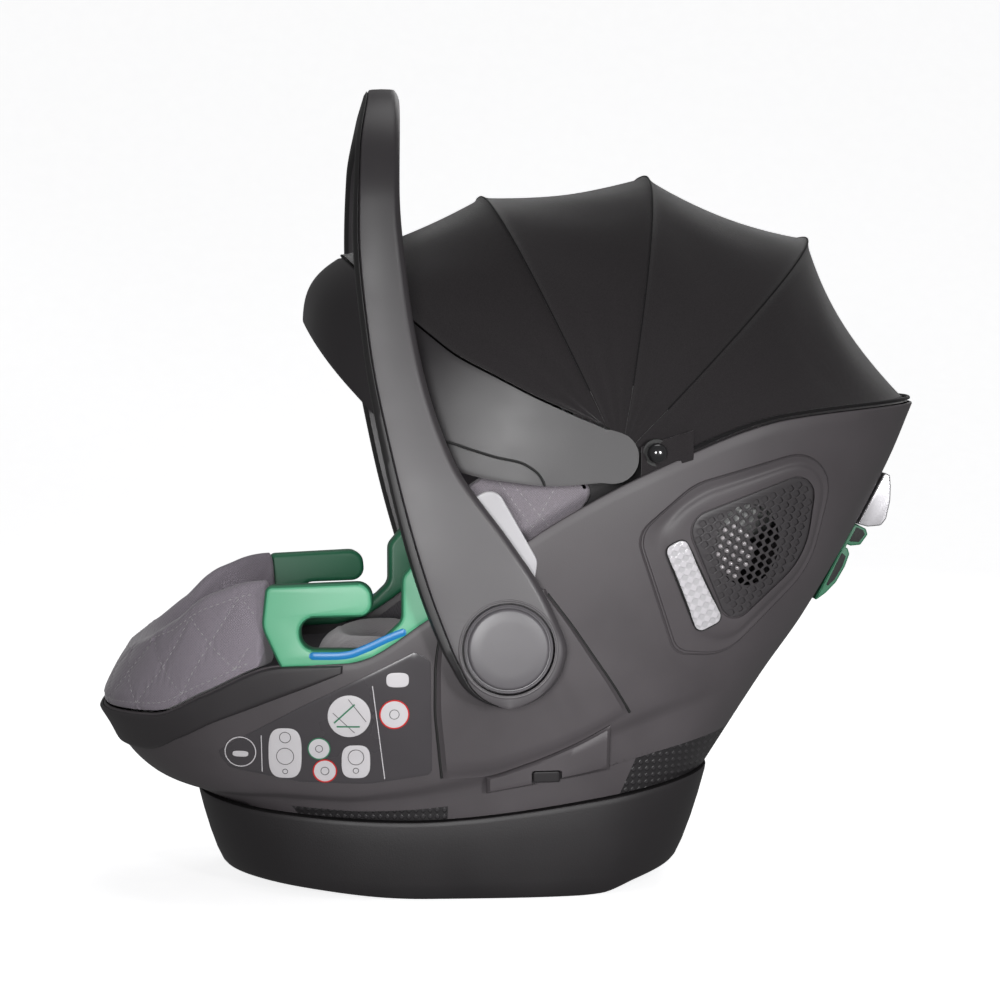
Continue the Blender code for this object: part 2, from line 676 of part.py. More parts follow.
def handle_stations():
    """(y, z, outward y, outward z, half thickness) along the arch, from the left hub to the middle."""
    stations = []
    for z in HANDLE_ARM_STATIONS:
        lean = ease(z, 0.26, 0.42)
        inner = mix(HANDLE_INNER_Y, HANDLE_INNER_Y + 0.0015, lean)
        outer = mix(HANDLE_OUTER_Y, HANDLE_OUTER_Y - 0.003, lean)
        stations.append((-(inner + outer) / 2, z, -1.0, 0.0, (outer - inner) / 2))
    corner_y = stations[-1][0] + HANDLE_CORNER
    corner_z = HANDLE_TOP_Z - HANDLE_CROWN - HANDLE_CORNER
    for k in range(7):
        turn = math.pi / 2 * k / 6
        out_y, out_z = -math.cos(turn), math.sin(turn)
        half = mix(stations[0][4] - 0.0023, HANDLE_CROWN, k / 6)
        y = corner_y + HANDLE_CORNER * out_y
        stations.append((y, corner_z + HANDLE_CORNER * out_z, out_y, out_z, half))
    stations.append((0.0, HANDLE_TOP_Z - HANDLE_CROWN, 0.0, 1.0, HANDLE_CROWN))
    return stations


def handle_section(y, z, out_y, out_z, half):
    front, back = HANDLE_FRONT_EDGE(min(z, 0.635)), HANDLE_BACK_EDGE(min(z, 0.635))
    round_off = min(0.006, (back - front) * 0.3)
    profile = [(front, -0.5), (front, 0.45), (front + round_off, 1.0), (back - round_off, 1.0), (back, 0.45),
               (back, -0.5), (back - round_off * 0.6, -1.0), (front + round_off * 0.6, -1.0)]
    return [Vector((x, y + out_y * half * o, z + out_z * half * o)) for x, o in profile]


def build_handle(pivot, hole):
    """The carry handle: one arch from hub to hub, with a pocket for each button."""
    left = handle_stations()
    right = [(-y, z, -out_y, out_z, half) for y, z, out_y, out_z, half in left[:-1]]
    rings = [handle_section(*s) for s in left] + [handle_section(*s) for s in reversed(right)]
    handle = solid("handle", loft(rings), "handle_plastic", pivot)
    for side_name, side in SIDES:
        pocket = rod(HUB_RADIUS, POCKET_LENGTH, 24)
        middle = HUB + Vector((0.0, side * (POCKET_FLOOR_Y + POCKET_LENGTH / 2), 0.0))
        cut(handle, cutter("button_pocket_" + side_name, pocket, middle, ACROSS))
    cut(handle, hole)


SPRING_RADIUS, SPRING_WIRE, SPRING_TURNS, SPRING_STEPS = 0.016, 0.0008, 3, 10
SPRING_FROM_Y, SPRING_TO_Y = POCKET_FLOOR_Y + 0.0014, 0.2156
AXLE_FROM_Y, AXLE_TO_Y = 0.1840, POCKET_FLOOR_Y + 0.001
BUTTON_FROM_Y, BUTTON_TO_Y = 0.2168, 0.2224


def spring_point(k, side):
    """A point of the helix, about the hub's axis."""
    turn = 2 * math.pi * k / SPRING_STEPS
    y = mix(SPRING_FROM_Y, SPRING_TO_Y, k / (SPRING_TURNS * SPRING_STEPS))
    return Vector((SPRING_RADIUS * math.cos(turn), side * y, SPRING_RADIUS * math.sin(turn)))


def build_hubs(handle_pivot, button_pivots):
    """What each hub holds: the axle, the button and the spring under it."""
    for (side_name, side), pivot in zip(SIDES, button_pivots):
        for name, radius, low, high, finish, sides, carrier in (
                ("handle_axle_", AXLE_RADIUS, AXLE_FROM_Y, AXLE_TO_Y, "steel", 20, None),
                ("handle_button_", BUTTON_RADIUS, BUTTON_FROM_Y, BUTTON_TO_Y, "handle_plastic", 24, pivot)):
            middle = HUB + Vector((0.0, side * (low + high) / 2, 0.0))
            bar = mesh_of(name + side_name, rod(radius, high - low, sides))
            obj = put_piece(bar.name, bar, finish, carrier, middle, ACROSS)
            if carrier is not None:
                soften(obj, 0.0012)
        helix = [spring_point(k, side) for k in range(SPRING_TURNS * SPRING_STEPS + 1)]
        spring = path_curve("button_spring_" + side_name, helix, SPRING_WIRE)
        put_piece(spring.name, spring, "steel", handle_pivot, HUB)


# ---- canopy ------------------------------------------------------------------------------------
VISOR_TOP = smooth_curve([(0.024, 132.0), (0.053, 139.5), (0.085, 145.6), (0.117, 147.5), (0.151, 148.5),
                          (0.174, 147.7), (0.268, 143.6)])
VISOR_FOOT = smooth_curve([(0.024, 222.0), (0.046, 208.8), (0.086, 193.4), (0.115, 187.5), (0.157, 179.3),
                           (0.206, 168.3), (0.270, 156.9)])
VISOR_START = 0.026              # distance from the canopy's axis where the visor's band begins
VISOR_STEPS = 5
VISOR_SWELL = 0.010
VISOR_THICKNESS = 0.0030
ARCH_STATIONS = 11
FABRIC_START = 0.032
FABRIC_THICKNESS = 0.0015
BOW_INSET = 0.0065


def arch(reach, half, angle, start, stations=ARCH_STATIONS):
    """Points of an arch over the seat from the child's left, in the half plane at angle (or angle(r))."""
    power = 2.0 / CANOPY_ROUNDNESS
    first = math.asin(min(start / reach, 1.0) ** (1.0 / power))
    curve = []
    for k in range(2 * stations + 1):
        turn = mix(first, math.pi - first, k / (2 * stations))
        r = reach * math.sin(turn) ** power
        y = -half * math.copysign(abs(math.cos(turn)) ** power, math.cos(turn))
        lean = math.radians(angle(r) if callable(angle) else angle)
        curve.append(CANOPY + Vector((r * math.cos(lean), y, r * math.sin(lean))))
    return curve


def skinned(outer_rows, thickness):
    """Give a sheet over the seat its thickness, towards the canopy's axis."""
    inner_rows = []
    for row in outer_rows:
        inner = []
        for p in row:
            arm = Vector((p.x - CANOPY.x, 0.0, p.z - CANOPY.z))
            y = p.y * (1 - thickness / CANOPY_HALF_WIDTH)
            inner.append(CANOPY + arm * (1 - thickness / max(arm.length, 0.03)) + Vector((0.0, y, 0.0)))
        inner_rows.append(inner)
    return slab(outer_rows, inner_rows)


def build_visor(pivot):
    """The rigid visor: a band whose ends taper into round pivots beside the snap knobs."""
    reach, half = VISOR_REACH, CANOPY_HALF_WIDTH
    top = arch(reach, half, VISOR_TOP, VISOR_START)
    foot = arch(reach, half, VISOR_FOOT, VISOR_START)
    rows = [[mix(a, b, k / VISOR_STEPS) for k in range(VISOR_STEPS + 1)] for a, b in zip(foot, top)]
    for row in rows:
        for k in range(1, VISOR_STEPS):
            swell = math.sin(math.pi * k / VISOR_STEPS) * VISOR_SWELL
            arm = Vector((row[k].x - CANOPY.x, 0.0, row[k].z - CANOPY.z))
            row[k] = row[k] + arm.normalized() * swell * ease(arm.length, 0.06, 0.20)
    ends = []
    for side in (-1, 1):
        end = []
        for turn in (math.radians(62), math.radians(30), math.radians(8)):
            x = CANOPY.x + WING_END_RADIUS * math.cos(turn)
            z = WING_END_RADIUS * math.sin(turn)
            heights = [CANOPY.z + mix(-z, z, k / VISOR_STEPS) for k in range(VISOR_STEPS + 1)]
            end.append([Vector((x, side * half, height)) for height in heights])
        ends.append(end)
    rows = ends[0][::-1] + rows + ends[1]
    solid("canopy_visor", skinned(rows, VISOR_THICKNESS), "visor_plastic", pivot)


def build_bow(name, angle, reach, half, pivot):
    """A spring-steel bow from pivot to pivot."""
    path = [p - CANOPY for p in arch(reach - BOW_INSET, half, angle, 0.008, 12)]
    put_piece(name, path_curve(name, path, BOW_WIRE), "steel", pivot, CANOPY)


def hem_row():
    """Where the canopy's hem lies on the shell's rim, round the head end."""
    row = []
    for k in range(2 * ARCH_STATIONS + 1):
        angle = mix(-1.30, 1.30, k / (2 * ARCH_STATIONS))
        row.append(shell_point(angle, 0.0, -0.0045, 0.0015))
    return row


def gore_edges():
    """The rows of points that the four fabric panels are stretched between, front to back."""
    below_visor = lambda r: VISOR_TOP(r) - math.degrees(0.0016 / r)
    visor = arch(VISOR_REACH, CANOPY_HALF_WIDTH, below_visor, FABRIC_START)
    rows = [visor]
    for _, angle, reach, _ in BOWS:
        rows.append(arch(reach, CANOPY_HALF_WIDTH, angle, FABRIC_START))
    rows.append(hem_row())
    return rows


def build_gores(pivots):
    rows = gore_edges()
    names = ("canopy_panel_front", "canopy_panel_middle", "canopy_panel_rear", "canopy_panel_back")
    for name, ahead, behind, pivot in zip(names, rows, rows[1:], pivots):
        sheet = []
        for k in range(4):
            share = mix(0.004, 0.996, k / 3)
            sheet.append([mix(a, b, share) for a, b in zip(ahead, behind)])
        solid(name, skinned(sheet, FABRIC_THICKNESS), "canopy_fabric", pivot)


KNOB = Vector((0.105, 0.0, 0.358))
KNOB_PROFILE = ((0.0000, 0.1972), (0.0038, 0.1972), (0.0065, 0.1955), (0.0075, 0.1930), (0.0070, 0.1905),
                (0.0050, 0.1885), (0.0025, 0.1885), (0.0025, 0.1700), (0.0000, 0.1700))


def build_knobs():
    """The snap knobs that hold the canopy's corners to the shell: (radius, |y|) profiles, turned."""
    for side_name, side in SIDES:
        mesh = bpy.data.meshes.new("canopy_knob_" + side_name)
        edges = [(k, k + 1) for k in range(len(KNOB_PROFILE) - 1)]
        mesh.from_pydata([(radius, 0.0, y) for radius, y in KNOB_PROFILE], edges, [])
        knob = put_piece(mesh.name, mesh, "handle_plastic", place=KNOB,
                         turn=Euler((side * math.radians(-90), 0.0, 0.0)))
        screw = knob.modifiers.new("turn", "SCREW")
        screw.steps = 16
        screw.render_steps = 16
        screw.use_merge_vertices = True
        screw.merge_threshold = WELD


# ---- soft goods and harness --------------------------------------------------------------------
SPINE = smooth_curve([(-0.330, 0.125), (-0.250, 0.128), (-0.165, 0.158), (-0.100, 0.154), (-0.030, 0.142),
                      (0.060, 0.197), (0.300, 0.355)])
BOWL_POWER = 2.6
BOWL_COLUMNS = 28


def bowl_height(x, y, inset, drop):
    """Height of a bowl hung inside the rim, whose middle line is the spine lowered by drop."""
    reach = HEAD_LINE(0) - inset if x > 0 else -FOOT_LINE(0) - inset
    wide = RIM_HALF_WIDTH - inset
    share = ((abs(x) / reach) ** ROUNDNESS + (abs(y) / wide) ** ROUNDNESS) ** (1 / ROUNDNESS)
    share = min(max(share, 0.001), 1.0)
    sink = (1 - share ** BOWL_POWER) ** (1 / BOWL_POWER)
    return mix(RIM_LINE(x / share), SPINE(x) - drop, sink)


def bowl_ring(share, inset, drop, lift=0.0):
    ring = []
    for k in range(BOWL_COLUMNS):
        along_x, along_y = plan(2 * math.pi * (k + 0.5) / BOWL_COLUMNS)
        reach = HEAD_LINE(0) - inset if along_x > 0 else -FOOT_LINE(0) - inset
        x = along_x * reach * share
        y = along_y * (RIM_HALF_WIDTH - inset) * share
        ring.append(Vector((x, y, bowl_height(x, y, inset, drop) + lift)))
    return ring


# A lining's measures: inset from the rim, thickness of its sides, drop of its inner floor below the
# spine, thickness of its floor, and drop of its edge below the shell's rim.
FOAM = (0.0125, 0.0052, 0.0180, 0.0090, 0.014)
COVER = (0.0215, 0.009, 0.0, 0.0110, 0.009)


def build_bowl(name, measures, finish):
    """A bucket-shaped lining."""
    inset, wall, drop, floor, rim_drop = measures
    shares = (0.07, 0.24, 0.42, 0.60, 0.78, 0.93)
    rings = [bowl_ring(share, inset, drop + floor) for share in shares]
    rings.append(bowl_ring(1.0, inset, drop + floor, -rim_drop))
    rings.append(bowl_ring(1.0, inset + wall, drop, -rim_drop))
    rings += [bowl_ring(share, inset + wall, drop) for share in reversed(shares)]
    solid(name, loft(rings), finish)


FOOT_COVER_END_X = -0.2065
FOOT_COVER_LIFT = 0.0020
FOOT_COVER_SECTION = ((0.001, 0.02), (0.000, 0.15), (0.006, 0.60), (0.012, 0.88), (0.020, 1.0),
                      (0.029, 0.94), (0.034, 0.60), (0.036, 0.10), (0.034, 0.02))      # (inset, share)
CREST = smooth_curve([(-0.340, 0.048), (-0.300, 0.058), (-0.250, 0.072), (-0.203, 0.070)])


def build_foot_cover():
    """The padded cover round the foot end, standing on the shell's rim."""
    rings = []
    for angle in foot_angles(FOOT_COVER_END_X, 20):
        rim = shell_point(angle, 0.0)
        crest = CREST(rim.x)
        lean = 1.0 + 0.9 * ease(-rim.x, 0.250, 0.330)
        outward = shell_normal(angle)
        ring = []
        for inset, up in FOOT_COVER_SECTION:
            place = rim - outward * inset * lean
            ring.append(Vector((place.x, place.y, rim.z + FOOT_COVER_LIFT + crest * up)))
        rings.append(ring)
    solid("foot_cover", loft(rings), "grey_fabric")


INSERT_CENTRE_X, INSERT_REACH, INSERT_HALF_WIDTH = -0.042, 0.128, 0.118
INSERT_LIFT = 0.0115


def cover_top(x, y):
    return bowl_height(x, y, COVER[0] + COVER[1], COVER[2])


def insert_thickness(share):
    """Padding of the infant insert from its middle (0) to its edge (1)."""
    return mix(0.010, 0.034, ease(share, 0.35, 0.80)) - 0.026 * ease(share, 0.85, 1.0)


def insert_top(x, y):
    share = ((abs(x - INSERT_CENTRE_X) / INSERT_REACH) ** 2.5 + (abs(y) / INSERT_HALF_WIDTH) ** 2.5) ** 0.4
    return cover_top(x, y) + INSERT_LIFT + insert_thickness(min(share, 1.0))


def build_insert():
    rings = []
    shares = (0.12, 0.38, 0.62, 0.83, 1.0)
    for upper, order in ((False, shares), (True, shares[::-1])):
        for share in order:
            ring = []
            for k in range(24):
                along_x, along_y = plan(2 * math.pi * (k + 0.5) / 24, 2.5)
                x = INSERT_CENTRE_X + along_x * INSERT_REACH * share
                y = along_y * INSERT_HALF_WIDTH * share
                ring.append(Vector((x, y, insert_top(x, y) if upper else cover_top(x, y) + INSERT_LIFT)))
            rings.append(ring)
    solid("infant_insert", loft(rings), "insert_fabric")


def ribbon(name, path, width, thickness, lift, finish, columns=3):
    """A strap lying on the insert.  path gives (x, y) along its middle, and how far it is lifted."""
    under, over = [], []
    for x, y in path:
        row = [Vector((x, y + width * (c / (columns - 1) - 0.5), 0.0)) for c in range(columns)]
        level = max(insert_top(p.x, p.y) for p in row) + lift
        under.append([Vector((p.x, p.y, level)) for p in row])
        over.append([Vector((p.x, p.y, level + thickness)) for p in row])
    solid(name, slab(over, under), finish)


BUCKLE_X = -0.034
BUCKLE_SIZE = Vector((0.054, 0.046, 0.019))
BUTTON_SIZE = Vector((0.026, 0.022, 0.008))
BUCKLE_LIFT = 0.003
BUTTON_ROOM = 0.004
BUTTON_PROUD = 0.001
STRAP_WIDTH, STRAP_THICKNESS, STRAP_LIFT = 0.022, 0.0016, 0.0036
PAD_WIDTH, PAD_THICKNESS, PAD_LIFT = 0.034, 0.0070, 0.0062
CROTCH_STRAP_WIDTH, CROTCH_STRAP_LIFT = 0.030, 0.0030
CROTCH_STRAP_FROM_X, CROTCH_STRAP_TO_X = -0.118, -0.0625
SHOULDER_STRAP_FROM_X, SHOULDER_STRAP_TO_X = 0.046, -0.003


def build_harness(button_pivot):
    for side_name, side in SIDES:
        path = []
        for k in range(9):
            x = mix(SHOULDER_STRAP_FROM_X, SHOULDER_STRAP_TO_X, k / 8)
            path.append((x, side * mix(0.046, 0.012, ease(k / 8, 0.3, 1.0))))
        ribbon("harness_strap_" + side_name, path, STRAP_WIDTH, STRAP_THICKNESS, STRAP_LIFT, "webbing")
        ribbon("shoulder_pad_" + side_name, path[1:6], PAD_WIDTH, PAD_THICKNESS, PAD_LIFT, "grey_fabric", 5)
    path = [(mix(CROTCH_STRAP_FROM_X, CROTCH_STRAP_TO_X, k / 5), 0.0) for k in range(6)]
    ribbon("crotch_strap", path, CROTCH_STRAP_WIDTH, STRAP_THICKNESS, CROTCH_STRAP_LIFT, "webbing")
    top = button_pivot.location
    buckle = put_piece("buckle", mesh_of("buckle", box(BUCKLE_SIZE)), "handle_plastic",
                       place=top - Vector((0.0, 0.0, BUCKLE_SIZE.z / 2)))
    soften(buckle, 0.004)
    pocket = box(BUTTON_SIZE + Vector((2 * GAP, 2 * GAP, 2 * BUTTON_ROOM)))
    cut(buckle, cutter("buckle_pocket", pocket, top - Vector((0.0, 0.0, BUTTON_SIZE.z / 2))))
    button = put_piece("buckle_button", mesh_of("buckle_button", box(BUTTON_SIZE)), "red_plastic", button_pivot,
                       top + Vector((0.0, 0.0, BUTTON_PROUD - BUTTON_SIZE.z / 2)))
    soften(button, 0.0015)


def buckle_top():
    """The buckle's lid lies level, just clear of the insert under it."""
    half_x, half_y = BUCKLE_SIZE.x / 2, BUCKLE_SIZE.y / 2
    highest = max(insert_top(BUCKLE_X + dx, half_y) for dx in (-half_x, 0.0, half_x))
    return highest + BUCKLE_LIFT + BUCKLE_SIZE.z


HEADREST_PATH = ((-0.134, 0.095), (-0.1355, 0.066), (-0.131, 0.038), (-0.116, 0.014), (-0.088, 0.002),
                 (-0.040, -0.002))
HEADREST = Vector((0.052, 0.0, 0.252))
HEADREST_SHELL = (-0.0085, -0.0060, 0.004)              # nearest and furthest depth, and trim at its ends
HEADREST_PAD = (-0.0050, 0.0105, 0.0)
PAD_EDGE = 0.004


def headrest_place(along, y, out):
    """A point in the headrest's own axes: up the recline, across, and out towards the child."""
    up = Vector((math.cos(RECLINE), 0.0, math.sin(RECLINE)))
    forward = Vector((-math.sin(RECLINE), 0.0, math.cos(RECLINE)))
    return HEADREST + up * along + forward * out + Vector((0.0, y, 0.0))


def headrest_layer(name, layer, finish, pivot):
    """A U-shaped layer of the headrest between two depths, low being nearer the shell."""
    low, high, trim = layer
    path = [Vector(p) for p in HEADREST_PATH]
    path += [Vector((0.0, -0.002))] + [Vector((-p.x, p.y)) for p in reversed(path)]
    near, far = [], []
    for k, p in enumerate(path):
        tangent = (path[min(k + 1, len(path) - 1)] - path[max(k - 1, 0)]).normalized()
        normal = Vector((-tangent.y, tangent.x))
        near_row, far_row = [], []
        for j in range(6):
            share = j / 5
            along = mix(trim, HEADREST_LENGTH - trim, share)
            plump = math.sin(math.pi * mix(0.12, 0.88, share))
            near_row.append(headrest_place(along, *(p + normal * low)))
            far_row.append(headrest_place(along, *(p + normal * mix(low + PAD_EDGE, high, plump))))
        near.append(near_row)
        far.append(far_row)
    solid(name, slab(far, near), finish, pivot)


def build_headrest(pivot):
    headrest_layer("headrest_shell", HEADREST_SHELL, "rocker_plastic", pivot)
    headrest_layer("headrest_pad", HEADREST_PAD, "grey_fabric", pivot)


SCREW_RADIUS, SCREW_HEIGHT = 0.0042, 0.0025
SCREW_PLACES = (("foot", -0.150, 0.1265), ("head", 0.075, 0.1250))
ROCKER_FLANGE = 0.0082           # from the keel down to the underside of the rocker's flange


def build_screws():
    """The four screws under the rocker's flange."""
    for end, x, y in SCREW_PLACES:
        for side_name, side in SIDES:
            name = "screw_%s_%s" % (end, side_name)
            middle = Vector((x, side * y, KEEL_LINE(x) - ROCKER_FLANGE - SCREW_HEIGHT / 2))
            put_piece(name, mesh_of(name, rod(SCREW_RADIUS, SCREW_HEIGHT, 12)), "steel", place=middle)


# ---- the whole seat ----------------------------------------------------------------------------
def build():
    clear_scene()
    handle_pivot = pivot_empty("handle_pivot", HUB)
    button_pivots = []
    latch_pivots = []
    for side_name, side in SIDES:
        button_place = HUB + Vector((0.0, side * BUTTON_TO_Y, 0.0))
        button_pivots.append(pivot_empty("button_pivot_" + side_name, button_place))
        latch_place = LATCH_CENTRE + Vector((0.0, side * side_y(*LATCH_CENTRE.xz), 0.0))
        latch_pivots.append(pivot_empty("latch_pivot_" + side_name, latch_place))
    visor_pivot = pivot_empty("visor_pivot", CANOPY)
    bow_pivots = [pivot_empty("bow_pivot_" + name, CANOPY) for name, _, _, _ in BOWS]
    lever_pivot = pivot_empty("lever_pivot", BACK_FOOT)
    headrest_pivot = pivot_empty("headrest_pivot", HEADREST)
    buckle_pivot = pivot_empty("buckle_pivot", Vector((BUCKLE_X, 0.0, buckle_top())))

    hole = cutter("axle_holes", rod(AXLE_RADIUS + AXLE_CLEARANCE, 0.6, 20), HUB, ACROSS)
    shell = build_shell()
    cut(shell, hole)
    cut(shell, vent_cutter())
    build_bumper()
    build_rocker()
    for (side_name, side), latch_pivot in zip(SIDES, latch_pivots):
        cut(build_side_cover(side_name, side), hole)
        build_adapter(side_name, side, latch_pivot)
        build_vent(side_name, side)
        build_belt_guide(side_name, side)
        build_side_plate(side_name, side)
    build_back(lever_pivot)
    build_handle(handle_pivot, hole)
    build_hubs(handle_pivot, button_pivots)
    build_visor(visor_pivot)
    for (name, angle, reach, half), pivot in zip(BOWS, bow_pivots):
        build_bow("canopy_bow_" + name, angle, reach, half, pivot)
    build_gores(bow_pivots + [None])
    build_knobs()
    build_bowl("foam_liner", FOAM, "foam")
    build_bowl("seat_cover", COVER, "grey_fabric")
    build_foot_cover()
    build_insert()
    build_harness(buckle_pivot)
    build_headrest(headrest_pivot)
    build_screws()


build()
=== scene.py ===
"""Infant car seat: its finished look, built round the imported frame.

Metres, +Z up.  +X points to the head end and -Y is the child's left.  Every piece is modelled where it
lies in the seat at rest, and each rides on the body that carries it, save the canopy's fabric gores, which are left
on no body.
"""
import math

import bmesh
import bpy
from mathutils import Euler, Matrix, Vector


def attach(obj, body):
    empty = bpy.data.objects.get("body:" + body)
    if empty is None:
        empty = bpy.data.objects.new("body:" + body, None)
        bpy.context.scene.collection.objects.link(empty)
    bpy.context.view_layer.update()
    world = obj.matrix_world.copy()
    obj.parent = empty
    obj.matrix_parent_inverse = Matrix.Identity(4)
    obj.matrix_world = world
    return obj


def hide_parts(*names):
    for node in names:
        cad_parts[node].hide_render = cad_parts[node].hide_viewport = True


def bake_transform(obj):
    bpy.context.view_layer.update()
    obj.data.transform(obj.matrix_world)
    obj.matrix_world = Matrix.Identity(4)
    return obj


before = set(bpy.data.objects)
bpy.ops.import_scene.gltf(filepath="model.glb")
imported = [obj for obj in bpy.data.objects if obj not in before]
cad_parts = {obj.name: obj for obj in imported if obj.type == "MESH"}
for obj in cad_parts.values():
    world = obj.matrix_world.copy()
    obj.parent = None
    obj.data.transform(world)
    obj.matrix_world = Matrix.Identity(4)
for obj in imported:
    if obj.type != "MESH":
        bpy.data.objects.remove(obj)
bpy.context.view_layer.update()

# ---- driving dimensions, as in the CAD ----------------------------------------------------------
GAP = 0.0005
ROUNDNESS = 2.7
RIM_HALF_WIDTH = 0.194
KEEL_NARROWING = 0.036
WALL = 0.0032
STRIP_INSET = 0.005
HUB = Vector((-0.013, 0.0, 0.208))
CANOPY = Vector((0.078, 0.0, 0.354))
CANOPY_HALF_WIDTH = 0.187
CANOPY_ROUNDNESS = 2.8
VISOR_REACH = 0.2695
SIDES = (("left", -1), ("right", 1))


# ---- curves ---------------------------------------------------------------------------------
def mix(a, b, t):
    return a + (b - a) * t


def ease(x, start, end):
    """0 before start, 1 after end, smooth in between."""
    t = min(max((x - start) / (end - start), 0.0), 1.0)
    return t * t * (3.0 - 2.0 * t)


def smooth_curve(points):
    """Return f(x), a smooth curve through the points that never overshoots them."""
    xs = [p[0] for p in points]
    ys = [p[1] for p in points]
    steps = [(ys[i + 1] - ys[i]) / (xs[i + 1] - xs[i]) for i in range(len(xs) - 1)]
    slopes = [steps[0]]
    for before, after in zip(steps, steps[1:]):
        slopes.append(2.0 * before * after / (before + after) if before * after > 0.0 else 0.0)
    slopes.append(steps[-1])

    def value(x):
        x = min(max(x, xs[0]), xs[-1])
        i = max(k for k in range(len(xs) - 1) if xs[k] <= x)
        width = xs[i + 1] - xs[i]
        t = (x - xs[i]) / width
        rise = (1 + 2 * t) * (1 - t) ** 2 * ys[i] + t * t * (3 - 2 * t) * ys[i + 1]
        lean = t * (1 - t) ** 2 * slopes[i] + t * t * (t - 1) * slopes[i + 1]
        return rise + lean * width

    return value


def rounded_outline(corners, steps=4):
    """Close an outline of (x, z, radius) corners, each turned with a round of that radius."""
    outline = []
    for i, (x, z, radius) in enumerate(corners):
        here = Vector((x, z))
        back = (Vector(corners[i - 1][:2]) - here).normalized()
        onward = (Vector(corners[(i + 1) % len(corners)][:2]) - here).normalized()
        half = back.angle(onward) / 2
        reach = radius / math.tan(half)
        centre = here + (back + onward).normalized() * (radius / math.sin(half))
        if radius == 0.0:
            outline.append(here)
            continue
        start = (here + back * reach - centre).normalized()
        end = (here + onward * reach - centre).normalized()
        for k in range(steps + 1):
            outline.append(centre + start.slerp(end, k / steps) * radius)
    return outline


# Side view: where the shell's rim and keel run, and its foot and head ends from rim (0) to keel (1).
RIM_LINE = smooth_curve([(-0.340, 0.146), (-0.290, 0.148), (-0.250, 0.166), (-0.190, 0.191), (-0.135, 0.193),
                         (-0.073, 0.228), (0.006, 0.290), (0.106, 0.344), (0.213, 0.382), (0.339, 0.394)])
KEEL_LINE = smooth_curve([(-0.262, 0.080), (-0.198, 0.071), (-0.086, 0.065), (0.066, 0.080), (0.165, 0.097)])
FOOT_LINE = smooth_curve([(0.0, -0.336), (0.20, -0.3275), (0.48, -0.317), (0.77, -0.297), (1.0, -0.262)])
HEAD_LINE = smooth_curve([(0.0, 0.3375), (0.157, 0.318), (0.583, 0.248), (0.743, 0.2145), (1.0, 0.165)])


def shell_height(along, depth):
    rim = RIM_LINE(mix(FOOT_LINE(0), HEAD_LINE(0), along))
    keel = KEEL_LINE(mix(FOOT_LINE(1), HEAD_LINE(1), along))
    return mix(rim, keel, depth)


def half_width(depth):
    return RIM_HALF_WIDTH - KEEL_NARROWING * depth ** 1.6


def plan(angle, power=ROUNDNESS):
    """A point on the unit superellipse, from the head end (angle 0) round by the child's right."""
    c, s = math.cos(angle), math.sin(angle)
    return math.copysign(abs(c) ** (2 / power), c), math.copysign(abs(s) ** (2 / power), s)


def shell_point(angle, depth, offset=0.0, lift=0.0):
    """A point on the shell's outside, moved outwards by offset and up by lift."""
    along_x, along_y = plan(angle)
    foot, head = FOOT_LINE(depth), HEAD_LINE(depth)
    x = mix(foot - offset, head + offset, (1 + along_x) / 2)
    along = min(max((x - foot) / (head - foot), 0.0), 1.0)
    return Vector((x, along_y * (half_width(depth) + offset), shell_height(along, depth) + lift))


def shell_normal(angle):
    """The direction out from the rim, seen from above."""
    along = shell_point(angle + 0.02, 0.0) - shell_point(angle - 0.02, 0.0)
    return Vector((along.y, -along.x, 0.0)).normalized()


def side_y(x, z):
    """Half width of the shell's outside at a place in the side view."""
    low, high = -0.3, 1.0
    for _ in range(30):
        depth = (low + high) / 2
        held = max(depth, 0.0)
        along = min(max((x - FOOT_LINE(held)) / (HEAD_LINE(held) - FOOT_LINE(held)), 0.0), 1.0)
        if shell_height(along, depth) > z:
            low = depth
        else:
            high = depth
    across = min(abs(2 * along - 1), 0.999)
    return half_width(held) * (1 - across ** ROUNDNESS) ** (1 / ROUNDNESS)


# ---- materials -----------------------------------------------------------------------------------
def add(tree, kind, inputs=(), **settings):
    """A shader node whose inputs are values or other nodes' outputs."""
    node = tree.nodes.new("ShaderNode" + kind)
    for key, value in settings.items():
        setattr(node, key, value)
    for key, value in dict(inputs).items():
        if isinstance(value, bpy.types.NodeSocket):
            tree.links.new(value, node.inputs[key])
        else:
            node.inputs[key].default_value = value
    return node


def start_material(name, roughness, specular=0.5, coat=0.0, sheen=0.0, metallic=0.0):
    material = bpy.data.materials.new(name)
    material.use_nodes = True
    tree = material.node_tree
    shader = tree.nodes["Principled BSDF"]
    shader.inputs["Roughness"].default_value = roughness
    shader.inputs["Specular IOR Level"].default_value = specular
    shader.inputs["Coat Weight"].default_value = coat
    shader.inputs["Coat Roughness"].default_value = 0.12
    shader.inputs["Sheen Weight"].default_value = sheen
    shader.inputs["Sheen Roughness"].default_value = 0.4
    shader.inputs["Metallic"].default_value = metallic
    return material, tree, shader


def tint(colour, share):
    return (*(min(c * share, 1.0) for c in colour), 1.0)


def spread(tree, value, low, high, from_low=0.3, from_high=0.7):
    """Map a noise's usual range to low..high."""
    ranged = add(tree, "MapRange", {"Value": value, "From Min": from_low, "From Max": from_high,
                                    "To Min": low, "To Max": high})
    return ranged.outputs["Result"]


def blend_colours(tree, factor, first, second):
    mixed = add(tree, "Mix", data_type="RGBA")
    tree.links.new(factor, mixed.inputs["Factor"])
    for key, value in (("A", first), ("B", second)):
        socket = next(i for i in mixed.inputs if i.name == key and i.type == "RGBA")
        if isinstance(value, bpy.types.NodeSocket):
            tree.links.new(value, socket)
        else:
            socket.default_value = value
    return next(o for o in mixed.outputs if o.type == "RGBA")


